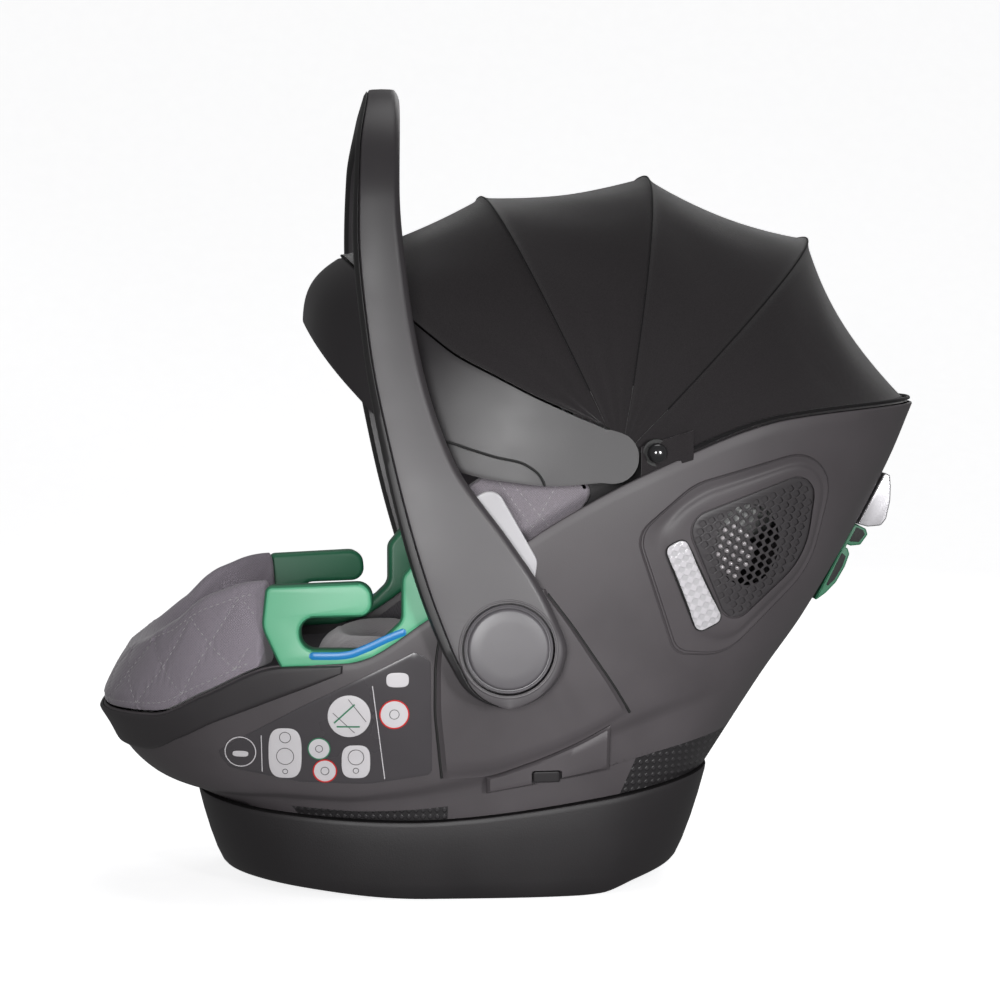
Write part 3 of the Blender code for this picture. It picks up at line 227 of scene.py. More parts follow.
def moulded(name, colour, roughness, grain=900.0, depth=0.00012, mottle=0.10, edge_glint=0.12, **shine):
    """Moulded plastic: fine spark-eroded grain, slightly cloudy colour, and convex edges painted a little lighter as
    a painted highlight.
    """
    material, tree, shader = start_material(name, roughness, **shine)
    place = add(tree, "TexCoord").outputs["Object"]
    cloud = add(tree, "TexNoise", {"Vector": place, "Scale": 14.0, "Detail": 4.0}).outputs["Fac"]
    pits = add(tree, "TexNoise", {"Vector": place, "Scale": grain, "Detail": 2.0}).outputs["Fac"]
    base = blend_colours(tree, spread(tree, cloud, 0.0, 1.0), tint(colour, 1 - mottle),
                         tint(colour, 1 + mottle))
    # Convex edges are tinted lighter: a painted highlight.
    edge = add(tree, "NewGeometry").outputs["Pointiness"]
    lit_edges = spread(tree, edge, 0.0, edge_glint, 0.52, 0.60)
    base = blend_colours(tree, lit_edges, base, tint(colour, 2.2))
    tree.links.new(base, shader.inputs["Base Color"])
    uneven = spread(tree, cloud, roughness - 0.05, roughness + 0.05)
    tree.links.new(uneven, shader.inputs["Roughness"])
    bump = add(tree, "Bump", {"Height": pits, "Strength": 0.5, "Distance": depth})
    tree.links.new(bump.outputs["Normal"], shader.inputs["Normal"])
    return material


def threads(tree, place, pitch, ratio):
    """Height of a plain weave over the first two coordinates of place."""
    split = add(tree, "SeparateXYZ", {"Vector": place})
    waves = []
    for axis, step in (("X", pitch), ("Y", pitch * ratio)):
        turns = add(tree, "Math", {0: split.outputs[axis], 1: math.pi / step},
                    operation="MULTIPLY").outputs[0]
        waves.append(add(tree, "Math", {0: turns}, operation="SINE").outputs[0])
    product = add(tree, "Math", {0: waves[0], 1: waves[1]}, operation="MULTIPLY").outputs[0]
    return add(tree, "Math", {0: product, 1: 0.5, 2: 0.5}, operation="MULTIPLY_ADD").outputs[0]


def woven(name, colour, pitch=0.0009, ratio=1.0, depth=0.0002, mottle=0.18, sheen=0.25, roughness=0.88,
          across=None, fuzz=0.3):
    """Cloth: threads along the piece's own cloth coordinates, or along two axes of the seat."""
    material, tree, shader = start_material(name, roughness, specular=0.25, sheen=sheen)
    seat = add(tree, "TexCoord").outputs["Object"]
    if across is None:
        place = add(tree, "Attribute", attribute_name="cloth").outputs["Vector"]
    else:
        split = add(tree, "SeparateXYZ", {"Vector": seat})
        place = add(tree, "CombineXYZ",
                    {"X": split.outputs[across[0]], "Y": split.outputs[across[1]]}).outputs[0]
    weave = threads(tree, place, pitch, ratio)
    cloud = add(tree, "TexNoise", {"Vector": seat, "Scale": 18.0, "Detail": 5.0}).outputs["Fac"]
    hairs = add(tree, "TexNoise", {"Vector": seat, "Scale": 1500.0, "Detail": 2.0}).outputs["Fac"]
    base = blend_colours(tree, spread(tree, cloud, 0.0, 1.0), tint(colour, 1 - mottle),
                         tint(colour, 1 + mottle))
    # Darker where the weave is low: painted shade between the threads.
    base = blend_colours(tree, spread(tree, weave, 0.0, 0.55, 0.0, 1.0), tint(colour, 0.55), base)
    dusty = blend_colours(tree, spread(tree, hairs, 0.0, fuzz), base, tint(colour, 1.8))
    tree.links.new(dusty, shader.inputs["Base Color"])
    height = add(tree, "Math", {0: hairs, 1: 0.4, 2: weave}, operation="MULTIPLY_ADD").outputs[0]
    bump = add(tree, "Bump", {"Height": height, "Strength": 0.7, "Distance": depth})
    tree.links.new(bump.outputs["Normal"], shader.inputs["Normal"])
    tree.links.new(spread(tree, cloud, roughness - 0.06, roughness + 0.06), shader.inputs["Roughness"])
    return material


def dotted(name, colour, pitch, depth, roughness):
    """Plastic with a moulded diamond of raised dots, over the side view's axes."""
    material, tree, shader = start_material(name, roughness)
    seat = add(tree, "TexCoord").outputs["Object"]
    split = add(tree, "SeparateXYZ", {"Vector": seat})
    flat = add(tree, "CombineXYZ", {"X": split.outputs["X"], "Y": split.outputs["Z"]}).outputs[0]
    turned = add(tree, "VectorRotate", {"Vector": flat, "Angle": math.radians(45)}, rotation_type="Z_AXIS")
    dots = threads(tree, turned.outputs[0], pitch, 1.0)
    raised = add(tree, "MapRange", {"Value": dots, "From Min": 0.55, "From Max": 0.8}).outputs["Result"]
    cloud = add(tree, "TexNoise", {"Vector": seat, "Scale": 30.0, "Detail": 3.0}).outputs["Fac"]
    # The raised dots are painted lighter and the gaps between them darker: painted highlight and painted shade.
    base = blend_colours(tree, raised, tint(colour, 0.7), tint(colour, 1.3))
    base = blend_colours(tree, spread(tree, cloud, 0.0, 0.3), base, tint(colour, 0.6))
    tree.links.new(base, shader.inputs["Base Color"])
    bump = add(tree, "Bump", {"Height": raised, "Strength": 0.8, "Distance": depth})
    tree.links.new(bump.outputs["Normal"], shader.inputs["Normal"])
    tree.links.new(spread(tree, cloud, roughness - 0.06, roughness + 0.06), shader.inputs["Roughness"])
    return material


def metal(name, colour, roughness, stretch=(1.0, 1.0, 40.0)):
    """Drawn or brushed metal: fine lines along one axis."""
    material, tree, shader = start_material(name, roughness, metallic=0.9)
    seat = add(tree, "TexCoord").outputs["Object"]
    drawn = add(tree, "Mapping", {"Vector": seat, "Scale": stretch}).outputs[0]
    lines = add(tree, "TexNoise", {"Vector": drawn, "Scale": 60.0, "Detail": 4.0}).outputs["Fac"]
    base = blend_colours(tree, spread(tree, lines, 0.0, 1.0), tint(colour, 0.85), tint(colour, 1.1))
    tree.links.new(base, shader.inputs["Base Color"])
    tree.links.new(spread(tree, lines, roughness - 0.08, roughness + 0.10), shader.inputs["Roughness"])
    bump = add(tree, "Bump", {"Height": lines, "Strength": 0.25, "Distance": 0.0001})
    tree.links.new(bump.outputs["Normal"], shader.inputs["Normal"])
    return material


def beaded(name, colour):
    """Expanded bead foam."""
    material, tree, shader = start_material(name, 0.55)
    seat = add(tree, "TexCoord").outputs["Object"]
    beads = add(tree, "TexVoronoi", {"Vector": seat, "Scale": 260.0})
    groove = spread(tree, beads.outputs["Distance"], 1.0, 0.0, 0.2, 0.75)
    # Darker between the beads and lighter on them: painted shade and painted highlight.
    base = blend_colours(tree, groove, tint(colour, 0.55), tint(colour, 1.1))
    tree.links.new(base, shader.inputs["Base Color"])
    bump = add(tree, "Bump", {"Height": groove, "Strength": 0.8, "Distance": 0.0006})
    tree.links.new(bump.outputs["Normal"], shader.inputs["Normal"])
    return material


def prismatic(name):
    """A reflector: small diamond prisms under a glossy face."""
    material, tree, shader = start_material(name, 0.22, specular=0.6, coat=0.6)
    seat = add(tree, "TexCoord").outputs["Object"]
    split = add(tree, "SeparateXYZ", {"Vector": seat})
    flat = add(tree, "CombineXYZ", {"X": split.outputs["X"], "Y": split.outputs["Z"]}).outputs[0]
    turned = add(tree, "VectorRotate", {"Vector": flat, "Angle": math.radians(20)}, rotation_type="Z_AXIS")
    prisms = threads(tree, turned.outputs[0], 0.0050, 1.0)
    raised = spread(tree, prisms, 0.0, 1.0, 0.35, 0.65)
    # The raised prisms are painted a little lighter: painted highlight.
    base = blend_colours(tree, raised, (0.52, 0.51, 0.53, 1.0), (0.62, 0.60, 0.63, 1.0))
    tree.links.new(base, shader.inputs["Base Color"])
    bump = add(tree, "Bump", {"Height": raised, "Strength": 0.8, "Distance": 0.0006})
    tree.links.new(bump.outputs["Normal"], shader.inputs["Normal"])
    return material


SHELL = moulded("shell_grain", (0.074, 0.066, 0.071), 0.50)
SHELL_DARK = moulded("bumper_grain", (0.034, 0.0305, 0.033), 0.52)
# About a quarter as bright as the shell's plastic: painted shade for the rocker under the shell's overhang; the
# latch noses and the headrest's back use it too.
ROCKER = moulded("rocker_grain", (0.017, 0.015, 0.0165), 0.52, grain=700.0, depth=0.0002)
# The strip is the shell's plastic painted about a third as bright as the shell: painted shade under the shell's
# overhang.
STRIP = dotted("strip_dots", (0.026, 0.024, 0.026), 0.0040, 0.0008, 0.5)
HANDLE = moulded("handle_satin", (0.064, 0.058, 0.063), 0.42, grain=1400.0, depth=0.00006)
# A darker copy of the handle plastic: painted shade along the handle's front side.
HANDLE_SHADED_SIDE = moulded("handle_shaded_side", (0.020, 0.019, 0.020), 0.5, grain=1400.0, depth=0.00006)
BUTTON = moulded("button_satin", (0.105, 0.099, 0.107), 0.40, grain=1500.0, depth=0.00006)
VISOR = moulded("visor_satin", (0.028, 0.025, 0.0275), 0.42, grain=1200.0, depth=0.00008)
# Near black: painted shade in the boss's edge gaps, the visor's grip groove and the shoulder guide's pockets, and
# the colour of the reflector's border and the knob collars.
DARK_SHADE_AND_TRIM = moulded("dark_shade_and_trim", (0.010, 0.010, 0.010), 0.6, grain=1200.0, edge_glint=0.0)
GLOSS = moulded("gloss_black", (0.012, 0.012, 0.013), 0.16, grain=300.0, depth=0.00002, edge_glint=0.0, coat=0.8)
WHITE = moulded("white_satin", (0.43, 0.42, 0.44), 0.32, grain=1000.0, depth=0.00004, mottle=0.03)
GREEN = moulded("green_face", (0.105, 0.42, 0.235), 0.40, grain=1000.0, depth=0.00005, mottle=0.05, edge_glint=0.05)
# A darker green: painted shade on the lap guides' faces that don't face outwards; also the colour of the shoulder
# guide and the green print.
DARK_GREEN_AND_SHADE = moulded("dark_green_and_shade", (0.032, 0.185, 0.095), 0.45, grain=1000.0, depth=0.00005, mottle=0.05,
                     edge_glint=0.03)
BLUE = moulded("blue_strip", (0.008, 0.20, 0.50), 0.35, grain=900.0, depth=0.00004, mottle=0.05, edge_glint=0.0)
RED = moulded("red_gloss", (0.52, 0.015, 0.015), 0.30, grain=900.0, depth=0.00003, mottle=0.05, coat=0.3)
SILVER = moulded("silver_paint", (0.46, 0.45, 0.47), 0.34, grain=1800.0, depth=0.00003, mottle=0.04,
                 metallic=0.55)
PRINT = moulded("label_print", (0.62, 0.60, 0.62), 0.45, grain=900.0, depth=0.00003, mottle=0.04, edge_glint=0.0)
LABEL = moulded("label_film", (0.060, 0.055, 0.060), 0.30, grain=500.0, depth=0.00004, mottle=0.06, edge_glint=0.0)
STEEL = metal("drawn_steel", (0.62, 0.62, 0.64), 0.28)
FOAM_BEADS = beaded("bead_foam", (0.62, 0.62, 0.62))
PRISMS = prismatic("reflector_prisms")
CANOPY_CLOTH = woven("canopy_weave", (0.028, 0.0245, 0.0265), pitch=0.0008, sheen=0.35)
CANOPY_PIPING = woven("canopy_piping", (0.010, 0.009, 0.010), pitch=0.0012, sheen=0.1, across=("Y", "Z"))
GREY_CLOTH = woven("grey_knit", (0.32, 0.285, 0.33), pitch=0.0011, across=("X", "Z"), mottle=0.10,
                   depth=0.0003)
COVER_CLOTH = woven("cover_knit", (0.105, 0.098, 0.108), pitch=0.0012, across=("X", "Y"), mottle=0.12,
                    depth=0.0003)
INSERT_CLOTH = woven("insert_jersey", (0.66, 0.61, 0.64), pitch=0.0010, ratio=1.6, across=("X", "Y"),
                     mottle=0.06,
                     depth=0.00025, sheen=0.4)
VENT_BLACK = moulded("vent_black", (0.050, 0.046, 0.049), 0.42, grain=900.0, depth=0.00008)
PEARL = moulded("pearl_bead", (0.30, 0.28, 0.29), 0.22, grain=700.0, depth=0.00004, mottle=0.25, coat=0.6)
BOLSTER_CLOTH = woven("bolster_knit", (0.30, 0.272, 0.303), pitch=0.0010, across=("X", "Z"), mottle=0.10,
                      depth=0.0003)
THREAD_PALE = woven("pale_thread", (0.50, 0.48, 0.50), pitch=0.0006, across=("X", "Z"), depth=0.0001)
THREAD_DARK = woven("dark_thread", (0.045, 0.042, 0.045), pitch=0.0006, across=("X", "Z"), depth=0.0001)
WEBBING = woven("webbing", (0.035, 0.035, 0.038), pitch=0.0016, ratio=0.6, depth=0.0004, mottle=0.08,
                fuzz=0.2)


# ---- mesh tools ----------------------------------------------------------------------------------
WELD = 0.00001


def skin(points, faces, cloth=None):
    """A bmesh of those faces.  cloth gives each point's place on the flat cloth, in metres."""
    form = bmesh.new()
    layer = form.verts.layers.float_vector.new("cloth") if cloth else None
    verts = [form.verts.new(p) for p in points]
    if cloth:
        for vert, (u, v) in zip(verts, cloth):
            vert[layer] = (u, v, 0.0)
    for face in faces:
        form.faces.new([verts[k] for k in face])
    return form


def centre_of(points):
    return sum((p.to_3d() for p in points), Vector()) / len(points)


def loft(rings, wrap=False, cloth=None):
    """Skin a row of equal rings.  The ends meet if wrap is set, and are closed by fans if not."""
    count = len(rings[0])
    points = [p for ring in rings for p in ring]
    faces = []
    for r in range(len(rings) if wrap else len(rings) - 1):
        lower, upper = r * count, (r + 1) % len(rings) * count
        for k in range(count):
            n = (k + 1) % count
            faces.append((lower + k, lower + n, upper + n, upper + k))
    if not wrap:
        for first, ring in ((0, rings[0]), ((len(rings) - 1) * count, rings[-1])):
            points.append(centre_of(ring))
            faces += [(first + k, first + (k + 1) % count, len(points) - 1) for k in range(count)]
            if cloth:
                cloth = cloth + [cloth[first]]
    return skin(points, faces, cloth)


def flat_places(rows):
    """Each grid point's place on the flat cloth: along its middle row, and down its middle column."""
    middle_row, middle = rows[len(rows) // 2], len(rows[0]) // 2
    along = [0.0]
    for a, b in zip(middle_row, middle_row[1:]):
        along.append(along[-1] + (b - a).length)
    down = [0.0]
    for above, below in zip(rows, rows[1:]):
        down.append(down[-1] + (below[middle] - above[middle]).length)
    return [(u, v) for v in down for u in along]


def slab(front, back):
    """Close the space between two equal grids of points."""
    rows, columns = len(front), len(front[0])
    size = rows * columns
    points = [p for row in front for p in row] + [p for row in back for p in row]
    faces = []
    for r in range(rows - 1):
        for c in range(columns - 1):
            a = r * columns + c
            quad = (a, a + 1, a + columns + 1, a + columns)
            faces.append(quad)
            faces.append(tuple(size + q for q in reversed(quad)))
    edge = list(range(columns))
    edge += [r * columns + columns - 1 for r in range(1, rows)]
    edge += [(rows - 1) * columns + c for c in range(columns - 2, -1, -1)]
    edge += [r * columns for r in range(rows - 2, 0, -1)]
    for a, b in zip(edge, edge[1:] + edge[:1]):
        faces.append((a, b, size + b, size + a))
    return skin(points, faces, flat_places(front) * 2)


def show(name, form, material, body, stands_for=(), angle=38, paint=None, weld=WELD):
    """Name a closed form as a shown piece.  paint(face) picks a face's material where there are several."""
    bmesh.ops.remove_doubles(form, verts=form.verts, dist=weld)
    bmesh.ops.recalc_face_normals(form, faces=form.faces)
    if paint:
        for face in form.faces:
            face.material_index = paint(face)
    mesh = bpy.data.meshes.new(name)
    form.to_mesh(mesh)
    form.free()
    for one in material if isinstance(material, tuple) else (material,):
        mesh.materials.append(one)
    mesh.shade_smooth()
    mesh.set_sharp_from_angle(angle=math.radians(angle))
    obj = bpy.data.objects.new(name, mesh)
    bpy.context.scene.collection.objects.link(obj)
    if stands_for:
        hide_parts(*stands_for)
    if body:
        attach(obj, body)
    return obj


def finish_mesh(obj):
    """Apply a piece's modifiers to its mesh."""
    graph = bpy.context.evaluated_depsgraph_get()
    mesh = bpy.data.meshes.new_from_object(obj.evaluated_get(graph))
    obj.modifiers.clear()
    obj.data = mesh
    mesh.shade_smooth()
    mesh.set_sharp_from_angle(angle=math.radians(38))


def cut_through(obj, form):
    """Cut a closed form out of a piece."""
    bmesh.ops.recalc_face_normals(form, faces=form.faces)
    mesh = bpy.data.meshes.new("cutter")
    form.to_mesh(mesh)
    form.free()
    tool = bpy.data.objects.new("cutter", mesh)
    bpy.context.scene.collection.objects.link(tool)
    boolean = obj.modifiers.new("cut", "BOOLEAN")
    boolean.operation = "DIFFERENCE"
    boolean.solver = "EXACT"
    boolean.object = tool
    finish_mesh(obj)
    bpy.data.objects.remove(tool, do_unlink=True)


def tube(points, radius, sides=8, closed=False, flatten=1.0):
    """A round bar along a path.  radius may be a list, one for each point."""
    rings = []
    count = len(points)
    side_way = None
    for k, p in enumerate(points):
        ahead = points[(k + 1) % count] if closed else points[min(k + 1, count - 1)]
        behind = points[k - 1] if closed else points[max(k - 1, 0)]
        forward = (ahead - behind).normalized()
        if side_way is None:
            side_way = forward.orthogonal().normalized()
        side_way = (side_way - forward * side_way.dot(forward)).normalized()
        up = forward.cross(side_way)
        wide = radius[k] if isinstance(radius, (list, tuple)) else radius
        rings.append([p + side_way * (wide * math.cos(a)) + up * (wide * flatten * math.sin(a))
                      for a in (2 * math.pi * j / sides for j in range(sides))])
    return loft(rings, wrap=closed)


def joined(forms):
    """One bmesh that holds several."""
    whole = bmesh.new()
    for form in forms:
        mesh = bpy.data.meshes.new("joined")
        form.to_mesh(mesh)
        form.free()
        whole.from_mesh(mesh)
        bpy.data.meshes.remove(mesh)
    return whole


def lathe(centre, side, profile, steps=64):
    """Turn a (radius, |y|) profile about a line across the seat."""
    rings = []
    for radius, y in profile:
        rings.append([Vector((centre.x + radius * math.cos(a), side * y, centre.z + radius * math.sin(a)))
                      for a in (2 * math.pi * k / steps for k in range(steps))])
    return loft(rings)


def resample(points, step):
    """Points at even steps along a path."""
    out = [points[0].copy()]
    left = step
    for a, b in zip(points, points[1:]):
        run = (b - a).length
        at = left
        while at <= run:
            out.append(a + (b - a) * (at / run))
            at += step
        left = at - run
    return out


def dashes(path, length=0.0032, gap=0.0022, radius=0.00032, lift=None):
    """A row of stitches along a path; lift gives the way out of the cloth."""
    forms = []
    points = resample(path, (length + gap) / 4)
    for k in range(0, len(points) - 3, 4):
        run = [points[k], points[k + 1], points[k + 2]]
        if lift:
            run = [p + lift(p) * (radius * (0.9 if j == 1 else 0.2)) for j, p in enumerate(run)]
        forms.append(tube(run, [radius * 0.5, radius, radius * 0.5], 6))
    return joined(forms)


def plate_form(outline, low, high, side, rim=0.0012, steps=3, inner=(0.35, 0.7)):
    """A plate of that outline in the side view between two surfaces |y| = f(x, z), its outer edge rounded."""
    centre = centre_of(outline).to_2d()
    size = sum((p - centre).length for p in outline) / len(outline)
    levels = [(share, 0.0) for share in inner]
    for k in range(steps + 1):
        turn = math.pi / 2 * k / steps
        levels.append((1 - rim * (1 - math.sin(turn)) / size, rim * (1 - math.cos(turn))))
    rings = [[Vector((q.x, side * (high(q.x, q.y) - drop), q.y)) for q in (mix(centre, p,
                                                                               share) for p in outline)]
             for share, drop in levels]
    for share in (1.0, *reversed(inner)):
        rings.append([Vector((q.x, side * low(q.x, q.y), q.y)) for q in (mix(centre, p,
                                                                             share) for p in outline)])
    return loft(rings)


def extruded(outline, thickness, bevel, steps=3, holes=()):
    """A flat outline in its own XY plane, with rounded edges and holes, of that full thickness."""
    curve = bpy.data.curves.new("outline", "CURVE")
    curve.dimensions = "2D"
    curve.fill_mode = "BOTH"
    curve.extrude = thickness / 2 - bevel
    curve.bevel_depth = bevel
    curve.bevel_resolution = steps
    curve.offset = -bevel
    for line in (outline, *holes):
        spline = curve.splines.new("POLY")
        spline.points.add(len(line) - 1)
        for point, (u, v) in zip(spline.points, line):
            point.co = (u, v, 0.0, 1.0)
        spline.use_cyclic_u = True
    holder = bpy.data.objects.new("outline", curve)
    mesh = bpy.data.meshes.new_from_object(holder)
    form = bmesh.new()
    form.from_mesh(mesh)
    bpy.data.meshes.remove(mesh)
    bpy.data.objects.remove(holder)
    bpy.data.curves.remove(curve)
    return form


# ---- camera, lights and floor ---------------------------------------------------------------------
def light(kind, name, place, aim, size, power, cone=0.0):
    """A soft lamp that points at a place."""
    lamp = bpy.data.lights.new(name, kind)
    lamp.energy = power
    if kind == "AREA":
        lamp.shape = "DISK"
        lamp.size = size
    else:
        lamp.shadow_soft_size = size
        lamp.spot_size = math.radians(cone)
        lamp.spot_blend = 1.0
    obj = bpy.data.objects.new(name, lamp)
    obj.location = place
    obj.rotation_euler = (Vector(aim) - Vector(place)).to_track_quat("-Z", "Y").to_euler()
    bpy.context.scene.collection.objects.link(obj)


def build_studio():
    scene = bpy.context.scene
    scene.view_settings.view_transform = "Standard"
    azimuth, elevation, distance = math.radians(-3.8), math.radians(3.2), 2.6
    aim = Vector((-0.005, 0.0, 0.311))
    back = Vector((math.sin(azimuth) * math.cos(elevation), -math.cos(azimuth) * math.cos(elevation),
                   math.sin(elevation)))
    camera = bpy.data.objects.new("camera", bpy.data.cameras.new("camera"))
    camera.data.lens = 111.4
    camera.location = aim + back * distance
    camera.rotation_euler = (-back).to_track_quat("-Z", "Y").to_euler()
    scene.collection.objects.link(camera)
    scene.camera = camera
    light("SPOT", "front", (-0.35, -2.4, 0.45), (-0.03, 0.0, 0.165), 0.25, 155.0, 22)
    light("SPOT", "key", (0.9, -2.3, 0.5), (0.10, 0.0, 0.215), 0.25, 140.0, 22)
    light("AREA", "top", (0.2, 0.2, 2.6), aim, 1.6, 10.0)
    light("AREA", "rim", (0.9, 2.2, 1.6), aim, 1.5, 8.0)
    world = bpy.data.worlds.new("studio")
    world.use_nodes = True
    world.node_tree.nodes["Background"].inputs["Color"].default_value = (1.0, 1.0, 1.0, 1.0)
    world.node_tree.nodes["Background"].inputs["Strength"].default_value = 0.19
    scene.world = world
    floor, tree, shader = start_material("floor_paper", 0.9)
    place = add(tree, "TexCoord").outputs["Object"]
    fibres = add(tree, "TexNoise", {"Vector": place, "Scale": 40.0, "Detail": 3.0}).outputs["Fac"]
    paper = blend_colours(tree, fibres, (0.90, 0.90, 0.905, 1.0), (0.93, 0.93, 0.935, 1.0))
    tree.links.new(paper, shader.inputs["Base Color"])
    tree.links.new(paper, shader.inputs["Emission Color"])
    shader.inputs["Emission Strength"].default_value = 0.86
    rows = []
    for y, z in [(-6.0, 0.0), (2.0, 0.0), (3.0, 0.0)] + [
            (3.0 + 2.0 * math.sin(t), 2.0 - 2.0 * math.cos(t)) for t in (0.3, 0.6, 0.9, 1.2, 1.5)] + [(5.0,
                                                                                                       7.0)]:
        rows.append([Vector((x, y, z)) for x in (-9.0, 0.0, 9.0)])
    points = [p for row in rows for p in row]
    faces = [(r * 3 + c, r * 3 + c + 1, r * 3 + c + 4,
              r * 3 + c + 3) for r in range(len(rows) - 1) for c in (0, 1)]
    mesh = bpy.data.meshes.new("floor")
    mesh.from_pydata(points, [], faces)
    mesh.materials.append(floor)
    mesh.shade_smooth()
    sweep = bpy.data.objects.new("floor", mesh)
    sweep.visible_diffuse = False
    sweep.visible_glossy = False
    scene.collection.objects.link(sweep)


# ---- shell, bumper and rocker ----------------------------------------------------------------------
SHELL_COLUMNS = 240
SHELL_CENTRE = Vector((-0.050, 0.0, 0.066))
LIP = ((-WALL, -0.0002), (-WALL * 0.85, 0.0009), (-WALL * 0.5, 0.0014), (-WALL * 0.15, 0.0009),
       (0.0, -0.0002))
STEP = ((-0.010, 0.03), (0.000, 0.12), (0.012, 0.36), (0.024, 0.66), (0.036, 0.90), (0.048, 1.0))


DOT_FROM = 0.45                 # share of the way from the crease to the keel where the dots start
DOTS_FOOT, DOTS_HEAD_X = (-0.180, -0.050), 0.088


def crease_depth(angle):
    """Depth of the side panels' lower edge, which rises towards the head end."""
    along = (1 + plan(angle)[0]) / 2
    return 0.85 - 0.12 * ease(along, 0.50, 0.95)


def shell_ring(depth, offset=0.0, lift=0.0, count=SHELL_COLUMNS):
    ring = []
    for k in range(count):
        angle = 2 * math.pi * (k + 0.5) / count
        level = depth(angle) if callable(depth) else depth
        out = offset(angle) if callable(offset) else offset
        ring.append(shell_point(angle, level, out, lift))
    return ring


def step_inset(angle):
    """How far the shell steps in below its crease: not at all at the head end."""
    return -STRIP_INSET * (1 - ease((1 + plan(angle)[0]) / 2, 0.80, 0.93))


def shrink(ring, share, lift=0.0):
    """Draw a ring in towards the middle of the floor."""
    drawn = []
    for p in ring:
        x = mix(p.x, SHELL_CENTRE.x, share)
        drawn.append(Vector((x, mix(p.y, SHELL_CENTRE.y, share), mix(p.z, KEEL_LINE(x) + lift, share))))
    return drawn


def build_shell():
    rings = [shell_ring(0.0, offset, lift) for offset, lift in LIP]
    rings += [shell_ring(lambda a, s=s: crease_depth(a) * s) for s in [k / 22 for k in range(1, 22)]]
    rings += [shell_ring(lambda a, d=d: crease_depth(a) + d, lambda a, s=s: step_inset(a) * s) for d,
              s in STEP]
    rings += [shell_ring(lambda a, s=s: mix(crease_depth(a) + 0.048, 1.0, s), step_inset)
              for s in (0.25, 0.5, DOT_FROM, 1.0)]
    step_to = len(rings)
    rings.append(shrink(rings[-1], 0.12))
    rings.append(shrink(rings[-1], 0.6))
    inner = [shell_ring(d, -WALL) for d in (0.04, 0.15, 0.3, 0.45, 0.6)]
    inner += [shell_ring(d, -STRIP_INSET - WALL) for d in (0.72, 0.85, 0.96)]
    inner.append(shrink(inner[-1], 0.5, WALL))
    form = loft(rings[::-1] + inner)
    low = len(rings) - step_to

    form.faces.ensure_lookup_table()
    for k, face in enumerate(form.faces):
        row = k // SHELL_COLUMNS
        x = face.calc_center_median().x
        if row == low and (DOTS_FOOT[0] < x < DOTS_FOOT[1] or x > DOTS_HEAD_X):
            face.material_index = 1
    shell = show("shell_skin", form, (SHELL, STRIP), "seat", ("shell",))
    ring = around(VENT_GRILLE, centre_of(VENT_GRILLE).to_2d(), 64)
    cut_through(shell, loft([[Vector((p.x, y, p.y)) for p in ring] for y in (-0.3, 0.3)]))


BUMPER_FOOT = smooth_curve([(-0.336, 0.116), (-0.297, 0.117), (-0.268, 0.131), (-0.239, 0.146),
                            (-0.205, 0.160), (-0.165, 0.176), (-0.139, 0.187)])
BUMPER_END_X = -0.140
BUMPER_PROUD = 0.0046


def foot_angles(end_x, count):
    """Angles from the child's right at end_x, round the foot end, to the child's left."""
    low, high = 0.2, math.pi
    for _ in range(40):
        middle = (low + high) / 2
        if shell_point(middle, 0.0).x > end_x:
            low = middle
        else:
            high = middle
    return [mix(low, 2 * math.pi - low, k / count) for k in range(count + 1)]


def bumper_depth(angle):
    """Depth on the shell where the bumper's lower edge runs."""
    low, high = 0.02, 0.9
    for _ in range(30):
        middle = (low + high) / 2
        p = shell_point(angle, middle)
        if p.z > BUMPER_FOOT(p.x):
            low = middle
        else:
            high = middle
    return low


def build_bumper():
    shares = [0.0, 0.004, 0.02, 0.06, 0.12, 0.22, 0.34, 0.46, 0.58, 0.70, 0.80, 0.88, 0.94, 0.975, 0.99, 1.0]
    front, back = [], []
    for angle in foot_angles(BUMPER_END_X, 150):
        deepest = bumper_depth(angle)
        row = []
        for s in shares:
            edge = min(s, 1 - s)
            swell = 0.0012 + (BUMPER_PROUD - 0.0012) * ease(edge, -0.02, 0.09) ** 0.6
            row.append(shell_point(angle, deepest * s, swell))
        front.append(row)
        back.append([shell_point(angle, deepest * s, 0.0006) for s in shares])
    show("bumper_band", slab(front, back), SHELL_DARK, "seat", ("foot_bumper",))


ROCKER_LINE = smooth_curve([(-0.240, 0.016), (-0.174, 0.008), (-0.095, 0.0005), (-0.075, 0.0), (0.050, 0.0),
                            (0.070, 0.0008), (0.098, 0.009), (0.142, 0.020)])
ROCKER_TOP_ENDS = (-0.258, 0.1655)
ROCKER_BOTTOM_ENDS = (-0.238, 0.140)
ROCKER_TOP_HALF_WIDTH = 0.1575
ROCKER_BOTTOM_HALF_WIDTH = 0.146
ROCKER_SECTION = ((0.0, 0.0006, 0.0), (0.012, 0.0, 0.0), (0.06, -0.0006, 0.0), (0.3, -0.0015, 0.0),
                  (0.55, -0.0018, 0.0), (0.8, -0.0012, 0.0), (0.95, 0.0002, 0.0), (0.985, 0.0014, 0.0),
                  (1.0, 0.0034, 0.0), (1.0, 0.012, 0.0), (1.0, 0.0125, 0.0035), (0.9, 0.006, 0.0),
                  (0.4, 0.005, 0.0), (0.0, 0.005, -0.006), (0.0, 0.022, -0.006), (0.0, 0.022, -0.0005))


